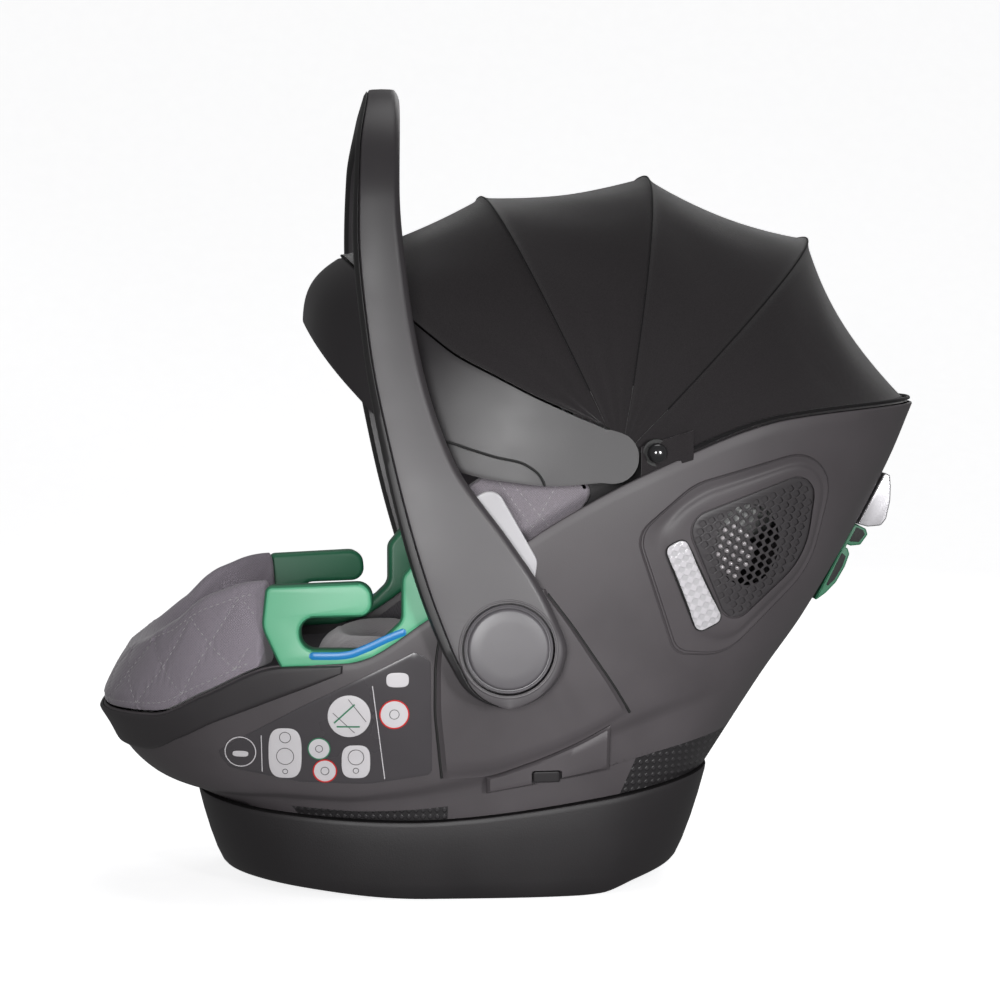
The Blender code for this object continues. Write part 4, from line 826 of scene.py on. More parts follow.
def rocker_ring(share, inset, lift):
    """A ring of the rocker from its top (share 0) to its runner (share 1)."""
    ring = []
    foot = mix(ROCKER_TOP_ENDS[0], ROCKER_BOTTOM_ENDS[0], share)
    head = mix(ROCKER_TOP_ENDS[1], ROCKER_BOTTOM_ENDS[1], share)
    wide = mix(ROCKER_TOP_HALF_WIDTH, ROCKER_BOTTOM_HALF_WIDTH, share)
    for k in range(200):
        along_x, along_y = plan(2 * math.pi * (k + 0.5) / 200, 3.0)
        along = (1 + along_x) / 2
        x = mix(foot + inset, head - inset, along)
        top = KEEL_LINE(x) - 0.0015
        runner = ROCKER_LINE(mix(ROCKER_BOTTOM_ENDS[0], ROCKER_BOTTOM_ENDS[1], along))
        ring.append(Vector((x, along_y * (wide - inset), mix(top, runner, share) + lift)))
    return ring


def build_rocker():
    rings = [rocker_ring(*station) for station in ROCKER_SECTION]
    show("rocker_skin", loft(rings, wrap=True), ROCKER, "seat", ("rocker_base",))


# ---- pieces on the shell's sides ---------------------------------------------------------------
COVER_LEFT = smooth_curve([(0.100, -0.062), (0.127, -0.065), (0.160, -0.068), (0.185, -0.068),
                           (0.250, -0.058)])
COVER_RIGHT = smooth_curve([(0.150, 0.088), (0.174, 0.073), (0.197, 0.057), (0.220, 0.041), (0.250, 0.018)])
COVER_BOTTOM = smooth_curve([(-0.062, 0.100), (-0.030, 0.102), (0.005, 0.112), (0.043, 0.127),
                             (0.088, 0.151)])
COVER_TOP_Z = 0.252
COVER_FACE_Y = 0.1966
SIDE_RISE = [0.0, 0.012, 0.03, 0.055] + [0.055 + 0.89 * k / 26 for k in range(1, 27)] + [0.97, 0.988, 1.0]


def cover_swell(across, up):
    """How proud of the shell the fan-shaped boss stands, with two faint creases running up it."""
    edge = min(across, 1 - across) * 2
    swell = mix(0.0008, 0.0062, ease(edge, 0.0, 0.07)) + 0.0033 * ease(edge, 0.05, 0.45)
    for crease in (0.30, 0.70):
        swell -= 0.0007 * math.exp(-((across - crease) / 0.018) ** 2) * ease(1 - up, 0.1, 0.5)
    return swell * mix(0.55, 1.0, ease(up, 0.0, 0.07))


def build_side_cover(side_name, side):
    """The fan-shaped boss that carries the handle hub."""
    front, back = [], []
    for up in [0.0, 0.01, 0.03, 0.06, 0.1] + [0.1 + 0.9 * k / 20 for k in range(1, 21)]:
        front.append([])
        back.append([])
        for across in SIDE_RISE:
            z = mix(COVER_BOTTOM(mix(-0.062, 0.088, across)), COVER_TOP_Z, up)
            x = mix(COVER_LEFT(z), COVER_RIGHT(z), across)
            under = side_y(x, z)
            front[-1].append(Vector((x, side * min(under + cover_swell(across, up), COVER_FACE_Y), z)))
            back[-1].append(Vector((x, side * (under - 0.0006), z)))
    show("hub_cover_" + side_name, slab(front, back), SHELL, "seat",
         ("side_cover_" + side_name,))


def build_cover_gap_shade(side_name, side):
    """A dark tube up each edge of the boss: painted shade where the boss meets the shell."""
    runs = []
    for edge in (COVER_LEFT, COVER_RIGHT):
        low = 0.101 if edge is COVER_LEFT else 0.151
        runs.append([Vector((edge(z), side * (side_y(edge(z), z) + 0.0006), z))
                     for z in (mix(low, COVER_TOP_Z - 0.004, k / 40) for k in range(41))])
    show("hub_cover_gap_shade_" + side_name, joined([tube(run, 0.0012, 8) for run in runs]), DARK_SHADE_AND_TRIM, "seat",
         angle=60)


ADAPTER_FROM, ADAPTER_TO = -0.027, 0.072
ADAPTER_FOOT = smooth_curve([(-0.027, 0.088), (0.072, 0.1045)])
ADAPTER_PROUD = 0.0065
LATCH_CENTRE = Vector((0.021, 0.0, 0.1005))
LATCH_SIZE = Vector((0.022, 0.0, 0.009))


def build_adapter(side_name, side):
    """The socket that drops on to a base or a stroller adapter."""
    front, back = [], []
    for across in SIDE_RISE:
        x = mix(ADAPTER_FROM, ADAPTER_TO, across)
        row, behind = [], []
        for up in (0.0, 0.03, 0.08, 0.16, 0.3, 0.45, 0.5, 0.55, 0.7, 0.85, 0.94, 0.98, 1.0):
            z = mix(ADAPTER_FOOT(x), COVER_BOTTOM(x) - 2 * GAP, up)
            edge = min(min(across, 1 - across) * 90, min(up, 1 - up) * 24)
            proud = mix(0.0022, ADAPTER_PROUD, ease(edge, 0.0, 2.4))
            row.append(Vector((x, side * (side_y(x, z) + proud), z)))
            behind.append(Vector((x, side * (side_y(x, z) - 0.0004), z)))
        front.append(row)
        back.append(behind)
    socket = show("adapter_block_" + side_name, slab(front, back), SHELL, "seat",
                  ("adapter_socket_" + side_name,))
    half_x, half_z = LATCH_SIZE.x / 2 + 0.0012, LATCH_SIZE.z / 2 + 0.0012
    slot = rounded_outline([(LATCH_CENTRE.x + sx * half_x, LATCH_CENTRE.z + sz * half_z, 0.0020)
                            for sx, sz in ((-1, -1), (1, -1), (1, 1), (-1, 1))], 4)
    cut_through(socket, loft([[Vector((p.x, side * y, p.y)) for p in slot] for y in (0.120, 0.200)]))
    outline = rounded_outline([(LATCH_CENTRE.x + sx * LATCH_SIZE.x / 2,
                                LATCH_CENTRE.z + sz * LATCH_SIZE.z / 2, 0.0015)
                               for sx, sz in ((-1, -1), (1, -1), (1, 1), (-1, 1))], 4)
    latch = plate_form(outline, side_y, lambda x, z: side_y(x, z) + 0.0045, side, 0.0018)
    show("latch_nose_" + side_name, latch, ROCKER, "adapter_latch_" + side_name,
         ("adapter_latch_" + side_name,))


VENT_RECESS = rounded_outline([(0.088, 0.294, 0.020), (0.135, 0.334, 0.050), (0.258, 0.3675, 0.030),
                               (0.238, 0.262, 0.070), (0.166, 0.194, 0.040), (0.122, 0.197, 0.014)], 8)
VENT_GRILLE = rounded_outline([(0.128, 0.305, 0.016), (0.238, 0.345, 0.016), (0.232, 0.272, 0.060),
                               (0.168, 0.216, 0.014)], 8)
REFLECTOR = rounded_outline([(0.112, 0.283, 0.006), (0.128, 0.291, 0.006), (0.162, 0.224, 0.006),
                             (0.141, 0.214, 0.006)], 6)


def around(outline, centre, count=24):
    """Sample an outline at even turns about a centre inside it."""
    ring = []
    for k in range(count):
        turn = 2 * math.pi * k / count
        ray = Vector((math.cos(turn), math.sin(turn)))
        best = 0.0
        for a, b in zip(outline, outline[1:] + outline[:1]):
            edge = b - a
            cross = ray.x * edge.y - ray.y * edge.x
            if abs(cross) < 1e-12:
                continue
            gap = a - centre
            reach = (gap.x * edge.y - gap.y * edge.x) / cross
            share = (gap.x * ray.y - gap.y * ray.x) / cross
            if reach > 0.0 and -1e-9 <= share <= 1 + 1e-9:
                best = max(best, reach)
        ring.append(centre + ray * best)
    return ring


# The surround's section from the grille's hole (share 0) to its own rim (share 1): (share, proud of the shell).
VENT_SECTION = ((0.00, -0.0010), (0.015, 0.0010), (0.04, 0.0022), (0.20, 0.0025), (0.36, 0.0024),
                (0.46, 0.0020), (0.53, 0.0011), (0.59, 0.0003), (0.66, 0.0001), (0.76, 0.0005),
                (0.88, 0.0012),
                (0.915, 0.0013), (0.925, 0.0006), (0.935, 0.0013), (0.960, 0.0014), (0.970, 0.0006),
                (0.980, 0.0011), (1.00, 0.0003))
CELL_PITCH, CELL_ROW, CELL_HALF, CELL_SLANT = 0.0077, 0.0055, 0.00235, math.radians(20)
CELL_TURN = math.radians(36)
OPEN_CENTRE, OPEN_REACH = Vector((0.181, 0.284)), Vector((0.027, 0.033))
BEAD_CENTRE, BEAD_REACH = Vector((0.169, 0.279)), Vector((0.015, 0.021))


def inside_outline(p, outline, margin):
    """Whether a point lies inside an outline by at least that margin."""
    crossings = 0
    for a, b in zip(outline, outline[1:] + outline[:1]):
        edge = b - a
        t = min(max((p - a).dot(edge) / max(edge.length_squared, 1e-12), 0.0), 1.0)
        if (p - a - edge * t).length < margin:
            return False
        if (a.y > p.y) != (b.y > p.y) and p.x < a.x + edge.x * (p.y - a.y) / edge.y:
            crossings += 1
    return crossings % 2 == 1


def cells():
    """The middles of the grille's cells, in staggered rows that rise towards the head end."""
    centre = centre_of(VENT_GRILLE).to_2d()
    along = Vector((math.cos(CELL_SLANT), math.sin(CELL_SLANT)))
    up = Vector((-along.y, along.x))
    found = []
    for row in range(-16, 17):
        for k in range(-12, 13):
            at = centre + along * ((k + 0.5 * (row % 2)) * CELL_PITCH) + up * (row * CELL_ROW)
            if inside_outline(at, VENT_GRILLE, CELL_HALF + 0.0011):
                found.append(at)
    return found


def cell_outline(at):
    """A square with rounded corners."""
    spin = Matrix.Rotation(CELL_TURN, 2)
    return [at + spin @ (Vector(plan(2 * math.pi * (k + 0.5) / 12, 4.0)) * CELL_HALF) for k in range(12)]


def within(p, centre, reach):
    return ((p.x - centre.x) / reach.x) ** 2 + ((p.y - centre.y) / reach.y) ** 2 < 1.0


def build_vent(side_name, side):
    """The vent's raised surround, the grille of small tiles in it and the reflector strip beside it."""
    centre = centre_of(VENT_GRILLE).to_2d()
    hole, rim = around(VENT_GRILLE, centre, 144), around(VENT_RECESS, centre, 144)
    front = [[mix(a, b, share) for a, b in zip(hole, rim)] for share, _ in VENT_SECTION]
    rings = [[Vector((p.x, side * (side_y(p.x, p.y) + proud), p.y)) for p in level]
             for level, (_, proud) in zip(front, VENT_SECTION)]
    for level in (front[-1], front[0]):
        rings.append([Vector((p.x, side * (side_y(p.x, p.y) - 0.0012), p.y)) for p in level])
    show("vent_surround_" + side_name, loft(rings, wrap=True), SHELL, "seat",
         ("vent_panel_" + side_name,))
    places = cells()
    web = extruded([mix(centre, p, 0.985) for p in hole], 0.0024, 0.0004, 1,
                   [cell_outline(at) for at in places])
    for vert in web.verts:
        x, z, out = vert.co
        vert.co = (x, side * (side_y(x, z) + out - 0.0006), z)
    show("vent_web_" + side_name, web, VENT_BLACK, "seat", ("vent_grille_" + side_name,),
         angle=50)
    opening = [OPEN_CENTRE + Vector((OPEN_REACH.x * math.cos(a), OPEN_REACH.y * math.sin(a)))
               for a in (2 * math.pi * k / 144 for k in range(144))]
    rings = []
    for level, depth in ((hole, -0.0008), (opening, -0.0008), (opening, -0.0030), (hole, -0.0030)):
        rings.append([Vector((p.x, side * (side_y(p.x, p.y) + depth), p.y)) for p in level])
    back = []
    for outer, inner in ((rings[0], rings[1]), (rings[2], rings[3])):
        back += [[mix(a, b, share) for a, b in zip(outer, inner)] for share in (0.0, 0.25, 0.5, 0.75, 1.0)]
    show("vent_back_" + side_name, loft(back, wrap=True), VENT_BLACK, "seat")
    beads = []
    for at in places:
        if within(at, BEAD_CENTRE, BEAD_REACH):
            beads.append(lump(Vector((at.x + 0.0006, side * (side_y(at.x, at.y) - 0.0042), at.y - 0.0004)),
                              0.0025))
    show("vent_beads_" + side_name, joined(beads), PEARL, "seat", angle=80)
    lens = plate_form(REFLECTOR, lambda x, z: side_y(x, z) + 0.0006, lambda x, z: side_y(x, z) + 0.0042,
                      side, 0.0010)
    show("reflector_lens_" + side_name, lens, PRISMS, "seat",
         ("reflector_" + side_name,))
    frame_run = around(REFLECTOR, centre_of(REFLECTOR).to_2d(), 96)
    border = tube([Vector((p.x, side * (side_y(p.x, p.y) + 0.0027), p.y)) for p in frame_run], 0.0009, 8,
                  closed=True)
    show("reflector_border_" + side_name, border, DARK_SHADE_AND_TRIM, "seat", angle=60)


def lump(centre, radius):
    """A slightly squashed bead."""
    rings = []
    for k in range(1, 8):
        turn = math.pi * k / 8
        rings.append([centre + Vector((radius * math.sin(turn) * math.cos(a), radius * math.cos(turn),
                                       radius * 0.92 * math.sin(turn) * math.sin(a)))
                      for a in (2 * math.pi * j / 14 for j in range(14))])
    return loft(rings)


GUIDE_TURN = math.radians(5.6)
GUIDE_OUTER_Y = 0.1925
GUIDE_THICKNESS = 0.020
GUIDE_LIFT = -0.0015
GUIDE_HINGE_X = -0.070


def guide_outline(rounds):
    """The lap-belt guide: an arm over a slot that is open towards the head end, and a horn behind."""
    corners = [(-0.1915, 0.196, 0.010), (-0.2035, 0.222, 0.024), (-0.200, 0.2545, 0.006),
               (-0.118, 0.258, 0.012),
               (-0.1155, 0.2305, 0.011), (-0.174, 0.229, 0.011), (-0.172, 0.205, 0.0115),
               (-0.118, 0.205, 0.030),
               (-0.094, 0.228, 0.012), (-0.094, 0.262, 0.012), (-0.074, 0.286, 0.003), (-0.060, 0.262, 0.003)]
    foot = [(x, RIM_LINE(x) + GUIDE_LIFT, 0.0) for x in (-0.064, -0.078, -0.095, -0.115, -0.140, -0.170,
                                                         -0.188)]
    return rounded_outline(corners + foot, rounds)


BLUE_LINE = ((-0.1665, 0.1999), (-0.1385, 0.2005), (-0.1222, 0.2059), (-0.1058, 0.2136), (-0.0910, 0.2197))
BLUE_HALF_WIDTH = 0.0030


def build_belt_guide(side_name, side):
    """The green lap-belt guide on the shell's rim, with a blue strip along its slot."""
    outline = [p - Vector((GUIDE_HINGE_X, 0.0)) for p in guide_outline(7)]
    form = extruded(outline, GUIDE_THICKNESS, 0.0040, 5)
    place = Vector((GUIDE_HINGE_X, side * (GUIDE_OUTER_Y - GUIDE_THICKNESS / 2), 0.0))
    turn = Euler((math.radians(90), 0.0, side * GUIDE_TURN)).to_matrix().to_4x4()
    form.transform(Matrix.Translation(place) @ turn)
    # Faces that don't face outwards take the darker green: painted shade.
    show("lap_guide_" + side_name, form, (GREEN, DARK_GREEN_AND_SHADE), "seat",
         ("belt_guide_" + side_name,),
         paint=lambda face: 0 if side * face.normal.y > 0.80 else 1)
    line = smooth_path([Vector((x, z, 0.0)) for x, z in BLUE_LINE], 10)
    strip = []
    for k, p in enumerate(line):
        ahead = (line[min(k + 1, len(line) - 1)] - line[max(k - 1, 0)]).normalized()
        from_end = min((p - line[0]).length, (p - line[-1]).length) + 0.0002
        half = math.sqrt(max(1 - (1 - min(from_end / BLUE_HALF_WIDTH, 1.0)) ** 2, 0.0)) * BLUE_HALF_WIDTH
        face = GUIDE_OUTER_Y - (GUIDE_HINGE_X - p.x) * math.tan(GUIDE_TURN)
        row = []
        for share, proud in ((-1, -0.002), (-1, 0.0002), (-0.8, 0.0006), (0.8, 0.0006), (1, 0.0002),
                             (1, -0.002)):
            row.append(Vector((p.x - ahead.y * half * share, side * (face + proud),
                               p.y + ahead.x * half * share)))
        strip.append(row)
    show("guide_strip_" + side_name, loft(strip), BLUE, "seat")


SIDE_PLATE = rounded_outline([(-0.062, 0.259, 0.003), (-0.050, 0.318, 0.012), (-0.0215, 0.333, 0.012),
                              (0.0115, 0.2745, 0.012), (0.009, 0.259, 0.002)], 8)
SIDE_PLATE_Y = 0.19585
SIDE_PLATE_THICKNESS = 0.0027


def build_side_plate(side_name, side):
    """The smooth pale plate between the shell's rim and the handle."""
    form = extruded(SIDE_PLATE, SIDE_PLATE_THICKNESS, 0.0011, 4)
    form.transform(Matrix.Translation((0.0, side * SIDE_PLATE_Y, 0.0)) @ Matrix.Rotation(math.radians(90), 4,
                                                                                         "X"))
    show("pale_plate_" + side_name, form, WHITE, "seat", ("side_plate_" + side_name,))


# The dark film under the handle, with plain shapes in place of any wording.
LABEL_OUTLINE = rounded_outline([(-0.240, 0.122, 0.004), (-0.174, 0.159, 0.006), (-0.083, 0.204, 0.004),
                                 (-0.072, 0.196, 0.004), (-0.070, 0.104, 0.004), (-0.119, 0.097, 0.012),
                                 (-0.174, 0.098, 0.012), (-0.229, 0.108, 0.008)], 6)


def side_point(x, z, side, proud):
    return Vector((x, side * (side_y(x, z) + proud), z))


def print_ring(x, z, radius, width, side, proud=0.0014):
    """A flat printed ring."""
    steps = 40
    rings = []
    for inner, out in ((radius, proud), (radius - width, proud), (radius - width, 0.0004), (radius, 0.0004)):
        rings.append([side_point(x + inner * math.cos(a), z + inner * math.sin(a), side, out)
                      for a in (2 * math.pi * k / steps for k in range(steps))])
    return loft(rings, wrap=True)


def print_line(a, b, width, side, proud=0.0014):
    """A flat printed line."""
    a, b = Vector(a), Vector(b)
    across = (b - a).orthogonal().normalized() * (width / 2)
    rows = []
    for k in range(9):
        p = mix(a, b, k / 8)
        rows.append([side_point(q.x, q.y, side, out) for q, out in (
            (p - across, 0.0004), (p - across, proud), (p + across, proud), (p + across, 0.0004))])
    return loft(rows)


def print_patch(x, z, half_x, half_z, side, power=3.2):
    """A flat printed shape, from round (power 2) to nearly square."""
    outline = [Vector((x + half_x * u, z + half_z * v)) for u, v in (plan(2 * math.pi * (k + 0.5) / 40, power)
                                                                      for k in range(40))]
    return plate_form(outline, lambda a, b: side_y(a, b) + 0.0004, lambda a, b: side_y(a, b) + 0.0014, side,
                      0.0002)


def build_label(side_name, side):
    outline = around(LABEL_OUTLINE, centre_of(LABEL_OUTLINE).to_2d(), 120)
    film = plate_form(outline, lambda x, z: side_y(x, z) - 0.0003, lambda x, z: side_y(x, z) + 0.0009, side,
                      0.0004, inner=[k / 12 for k in range(1, 12)])
    show("side_film_" + side_name, film, LABEL, "seat")
    white = [print_patch(*mark, side) for mark in WHITE_MARKS]
    white += [print_patch(x, z, radius, radius, side, 2.0) for x, z, radius in ROUND_MARKS]
    white.append(print_ring(-0.2206, 0.1217, 0.0125, 0.0008, side))
    white += [print_line(a, b, 0.0007, side) for a, b in DIVIDERS]
    show("side_print_" + side_name, joined(white), PRINT, "seat")
    green = [print_ring(-0.1588, 0.1258, 0.0090, 0.0009, side, 0.0018)]
    green += [print_line(a, b, 0.0012, side, 0.0018) for a, b in (((-0.147, 0.147), (-0.131, 0.162)),
                                                                 ((-0.145, 0.144), (-0.127, 0.144)))]
    show("side_print_green_" + side_name, joined(green), DARK_GREEN_AND_SHADE, "seat")
    red = [print_ring(x, z, radius, 0.0010, side, 0.0018) for x, z, radius in ((-0.1542, 0.1076, 0.0096),
                                                                              (-0.1000, 0.1537, 0.0118))]
    show("side_print_red_" + side_name, joined(red), RED, "seat")
    drawn = [print_ring(x, z, radius, 0.0005, side, 0.0018) for x, z, radius in (
        (-0.1854, 0.1345, 0.0046), (-0.1854, 0.1190, 0.0070), (-0.1854, 0.1065, 0.0022),
        (-0.1299, 0.1190, 0.0064),
        (-0.1299, 0.1080, 0.0024), (-0.1588, 0.1258, 0.0030), (-0.1542, 0.1076, 0.0034),
        (-0.1000, 0.1537, 0.0040))]
    drawn += [print_line(a, b, 0.0005, side, 0.0018) for a, b in (((-0.136, 0.166), (-0.122, 0.148)),
                                                                  ((-0.148, 0.155), (-0.131, 0.139)))]
    show("side_drawing_" + side_name, joined(drawn), HANDLE, "seat")


# (x, z, half length, half height) of the plain rounded marks, then (x, z, radius) of the round ones.
WHITE_MARKS = ((-0.1854, 0.1215, 0.0130, 0.0205), (-0.1299, 0.1153, 0.0112, 0.0135),
               (-0.0976, 0.1813, 0.0088, 0.0058),
               (-0.2206, 0.1200, 0.0062, 0.0024))
ROUND_MARKS = ((-0.1353, 0.1524, 0.0168), (-0.1588, 0.1258, 0.0084), (-0.1542, 0.1076, 0.0090),
               (-0.1000, 0.1537, 0.0110))
DIVIDERS = (((-0.2041, 0.1357), (-0.2035, 0.1057)), ((-0.1172, 0.1767), (-0.1072, 0.1009)))


# ---- pieces on the back ------------------------------------------------------------------------
BACK_FOOT = Vector((0.251, 0.0, 0.208))
BACK_UP = Vector((0.463, 0.0, 0.886))
BACK_OUT = Vector((0.886, 0.0, -0.463))
BELT_HOOK = ((0.018, -0.005, 0.001), (0.030, 0.001, 0.006), (0.042, 0.0045, 0.006), (0.057, 0.0050, 0.005),
             (0.068, 0.0035, 0.002), (0.0715, 0.0, 0.001), (0.0715, -0.002, 0.0005), (0.0745, -0.002, 0.0005),
             (0.0745, 0.001, 0.001), (0.079, 0.0080, 0.002), (0.0895, 0.0095, 0.002), (0.093, 0.006, 0.001),
             (0.093, -0.005, 0.001))
HOOK_POCKETS = (((0.032, -0.002, 0.001), (0.043, 0.0022, 0.003), (0.056, 0.0028, 0.003),
                 (0.065, 0.0015, 0.001),
                 (0.066, -0.003, 0.001)),
                ((0.0770, -0.002, 0.001), (0.0805, 0.0058, 0.001), (0.0885, 0.0072, 0.001),
                 (0.0908, 0.0045, 0.001),
                 (0.0908, -0.002, 0.001)))
LEVER = ((0.093, -0.004, 0.001), (0.095, 0.0045, 0.003), (0.101, 0.0140, 0.004), (0.108, 0.0152, 0.004),
         (0.123, 0.0112, 0.010), (0.134, 0.0058, 0.006), (0.1415, 0.0010, 0.001), (0.1415, -0.004, 0.001))
HOOK_WIDTH, LEVER_WIDTH = 0.070, 0.090


def build_back():
    """The shoulder-belt guide and the release lever, which run straight across the back."""
    turn = Matrix((BACK_UP, BACK_OUT, (0.0, 1.0, 0.0))).transposed().to_4x4()
    for name, profile, width, material, body, slot, node in (
            ("shoulder_guide", BELT_HOOK, HOOK_WIDTH, DARK_GREEN_AND_SHADE, "seat", "green_plastic",
             ("shoulder_belt_guide",)),
            # Dark slabs over the shoulder guide's pockets: painted shade in place of the hollows.
            ("shoulder_guide_hollow_shade", HOOK_POCKETS[0], HOOK_WIDTH + 0.0006, DARK_SHADE_AND_TRIM, "seat", "green_plastic",
             ()),
            ("shoulder_guide_loop_shade", HOOK_POCKETS[1], HOOK_WIDTH + 0.0006, DARK_SHADE_AND_TRIM, "seat", "green_plastic", ()),
            ("pull_lever", LEVER, LEVER_WIDTH, SILVER, "release_lever", "silver_plastic",
             ("release_lever",))):
        form = extruded(rounded_outline(profile, 5), width, 0.0003 if node == () else 0.0012, 3)
        form.transform(Matrix.Translation(BACK_FOOT) @ turn)
        show(name, form, material, body, node)


# ---- handle ------------------------------------------------------------------------------------
HANDLE_FRONT_EDGE = smooth_curve([(0.162, -0.018), (0.1635, -0.0248), (0.165, -0.0293), (0.1695, -0.0382),
                                  (0.178, -0.0479), (0.192, -0.0563), (0.208, -0.065), (0.264, -0.086),
                                  (0.354, -0.109), (0.445, -0.125), (0.530, -0.132), (0.590, -0.130),
                                  (0.635, -0.122)])
HANDLE_BACK_EDGE = smooth_curve([(0.162, -0.008), (0.1635, -0.0012), (0.165, 0.0033), (0.1695, 0.0122),
                                 (0.178, 0.0219), (0.192, 0.0301), (0.206, 0.033), (0.230, 0.025),
                                 (0.258, 0.011), (0.292, -0.012), (0.354, -0.055), (0.426, -0.079),
                                 (0.491, -0.090), (0.562, -0.096), (0.635, -0.094)])
HANDLE_END = (0.1622, 0.1626, 0.1633, 0.1643, 0.1656, 0.1675, 0.1700, 0.1735, 0.178)
HANDLE_INNER_Y, HANDLE_OUTER_Y = 0.1985, 0.222
HANDLE_TOP_Z, HANDLE_CORNER, HANDLE_CROWN = 0.644, 0.085, 0.0105
SEAM_INSET = smooth_curve([(0.150, 0.004), (0.230, 0.0085), (0.330, 0.0075), (0.450, 0.0050),
                           (0.560, 0.0042)])


def handle_stations():
    """(y, z, outward y, outward z, half thickness) along the arch, from the left hub to the middle."""
    stations = []
    arm_top = HANDLE_TOP_Z - HANDLE_CROWN - HANDLE_CORNER
    levels = list(HANDLE_END) + [mix(0.182, arm_top, k / 66) for k in range(67)]
    for z in levels:
        lean = ease(z, 0.26, 0.42)
        inner = mix(HANDLE_INNER_Y, HANDLE_INNER_Y + 0.0015, lean)
        outer = mix(HANDLE_OUTER_Y, HANDLE_OUTER_Y - 0.003, lean)
        stations.append((-(inner + outer) / 2, z, -1.0, 0.0, (outer - inner) / 2))
    start = stations[-1]
    corner_y = start[0] + HANDLE_CORNER
    for k in range(1, 31):
        turn = math.pi / 2 * k / 30
        out_y, out_z = -math.cos(turn), math.sin(turn)
        stations.append((corner_y + HANDLE_CORNER * out_y, arm_top + HANDLE_CORNER * out_z, out_y, out_z,
                         mix(start[4], HANDLE_CROWN, k / 30)))
    for k in range(1, 21):
        stations.append((mix(corner_y, 0.0, k / 20), HANDLE_TOP_Z - HANDLE_CROWN, 0.0, 1.0, HANDLE_CROWN))
    return stations


def handle_section(y, z, out_y, out_z, half):
    """The tube's section: a front band that build_handle paints darker as painted shade, a seam, a slightly crowned
    face and a bevel along its back edge.
    """
    front, back = HANDLE_FRONT_EDGE(min(z, 0.635)), HANDLE_BACK_EDGE(min(z, 0.635))
    width = back - front
    unit = min(1.0, width / 0.030)
    seam = SEAM_INSET(z) * unit
    profile = [(0.0, -0.30), (0.0, 0.20), (0.0008 * unit, 0.50), (0.0022 * unit, 0.70),
               (seam - 0.0011 * unit, 0.82),
               (seam - 0.0004 * unit, 0.80), (seam, 0.66), (seam + 0.0004 * unit, 0.84),
               (seam + 0.0012 * unit, 0.93),
               (seam + 0.0040 * unit, 0.97), (mix(seam, width, 0.45), 1.0), (width - 0.0075 * unit, 0.985),
               (width - 0.0042 * unit, 0.95), (width - 0.0035 * unit, 0.90), (width - 0.0014 * unit, 0.62),
               (width - 0.0008 * unit, 0.50), (width, 0.25), (width, -0.30), (width - 0.0012 * unit, -0.68),
               (width - 0.0040 * unit, -0.93), (width * 0.70, -1.0), (width * 0.30, -1.0),
               (0.0040 * unit, -0.93),
               (0.0012 * unit, -0.68)]
    return [Vector((front + u, y + out_y * half * o, z + out_z * half * o)) for u, o in profile]


def build_handle():
    """The carry handle: one arch from hub to hub, with a pocket for each button."""
    left = handle_stations()
    right = [(-y, z, -out_y, out_z, half) for y, z, out_y, out_z, half in left[:-1]]
    rings = [handle_section(*s) for s in left] + [handle_section(*s) for s in reversed(right)]
    count = len(rings[0])
    form = loft(rings)
    form.faces.ensure_lookup_table()
    # The front side and its band up to the seam take the darker handle material: painted shade.
    for k, face in enumerate(form.faces):
        across = k % count
        face.material_index = 1 if k < count * (len(rings) - 1) and across in (0, 1, 2, 3, 4, 5, 22,
                                                                               23) else 0
    handle = show("handle_tube", form, (HANDLE, HANDLE_SHADED_SIDE), "handle", ("handle",))
    for side_name, side in SIDES:
        cut_through(handle, lathe(HUB, side, ((0.0360, 0.2075), (0.0360, 0.24)), 72))
        ring = ((0.0362, 0.2085), (0.0362, 0.2208), (0.0366, 0.2218), (0.0374, 0.2222), (0.0384, 0.2221),
                (0.0392, 0.2214), (0.0394, 0.2200))
        hoop = [[Vector((HUB.x + r * math.cos(a), side * y, HUB.z + r * math.sin(a)))
                 for a in (2 * math.pi * k / 72 for k in range(72))] for r, y in ring]
        show("hub_ring_" + side_name, loft(hoop, wrap=True), HANDLE, "handle")
        profile = ((0.0346, 0.2168), (0.0347, 0.2196), (0.0344, 0.2206), (0.0338, 0.2210), (0.0330, 0.2207),
                   (0.0326, 0.2199), (0.0318, 0.2198), (0.0314, 0.2206), (0.0311, 0.2216), (0.0303, 0.2224),
                   (0.0292, 0.2227), (0.0200, 0.2230), (0.0100, 0.2232), (0.0030, 0.22325))
        show("hub_button_" + side_name, lathe(HUB, side, profile, 96), BUTTON, "handle_button_" + side_name,
             ("handle_button_" + side_name,))


# ---- canopy ------------------------------------------------------------------------------------
BOWS = (("front", 115.6, 0.2317), ("middle", 81.2, 0.2287), ("rear", 46.3, 0.2433))
VISOR_TOP = smooth_curve([(0.024, 114.0), (0.026, 118.0), (0.032, 126.0), (0.040, 133.0), (0.053, 139.5),
                          (0.085, 145.6), (0.117, 147.5), (0.151, 148.5), (0.174, 147.7), (0.268, 143.6)])
VISOR_FOOT = smooth_curve([(0.024, 237.0), (0.026, 232.0), (0.032, 220.5), (0.046, 208.8), (0.086, 193.4),
                           (0.115, 187.5), (0.157, 179.3), (0.206, 168.3), (0.270, 156.9)])
VISOR_START = 0.026
VISOR_SWELL = 0.010
VISOR_THICKNESS = 0.0030
WING_END, WING_END_RADIUS = Vector((0.0711, 0.3542)), 0.0205
ARCH_STATIONS = 60
FABRIC_START = 0.008


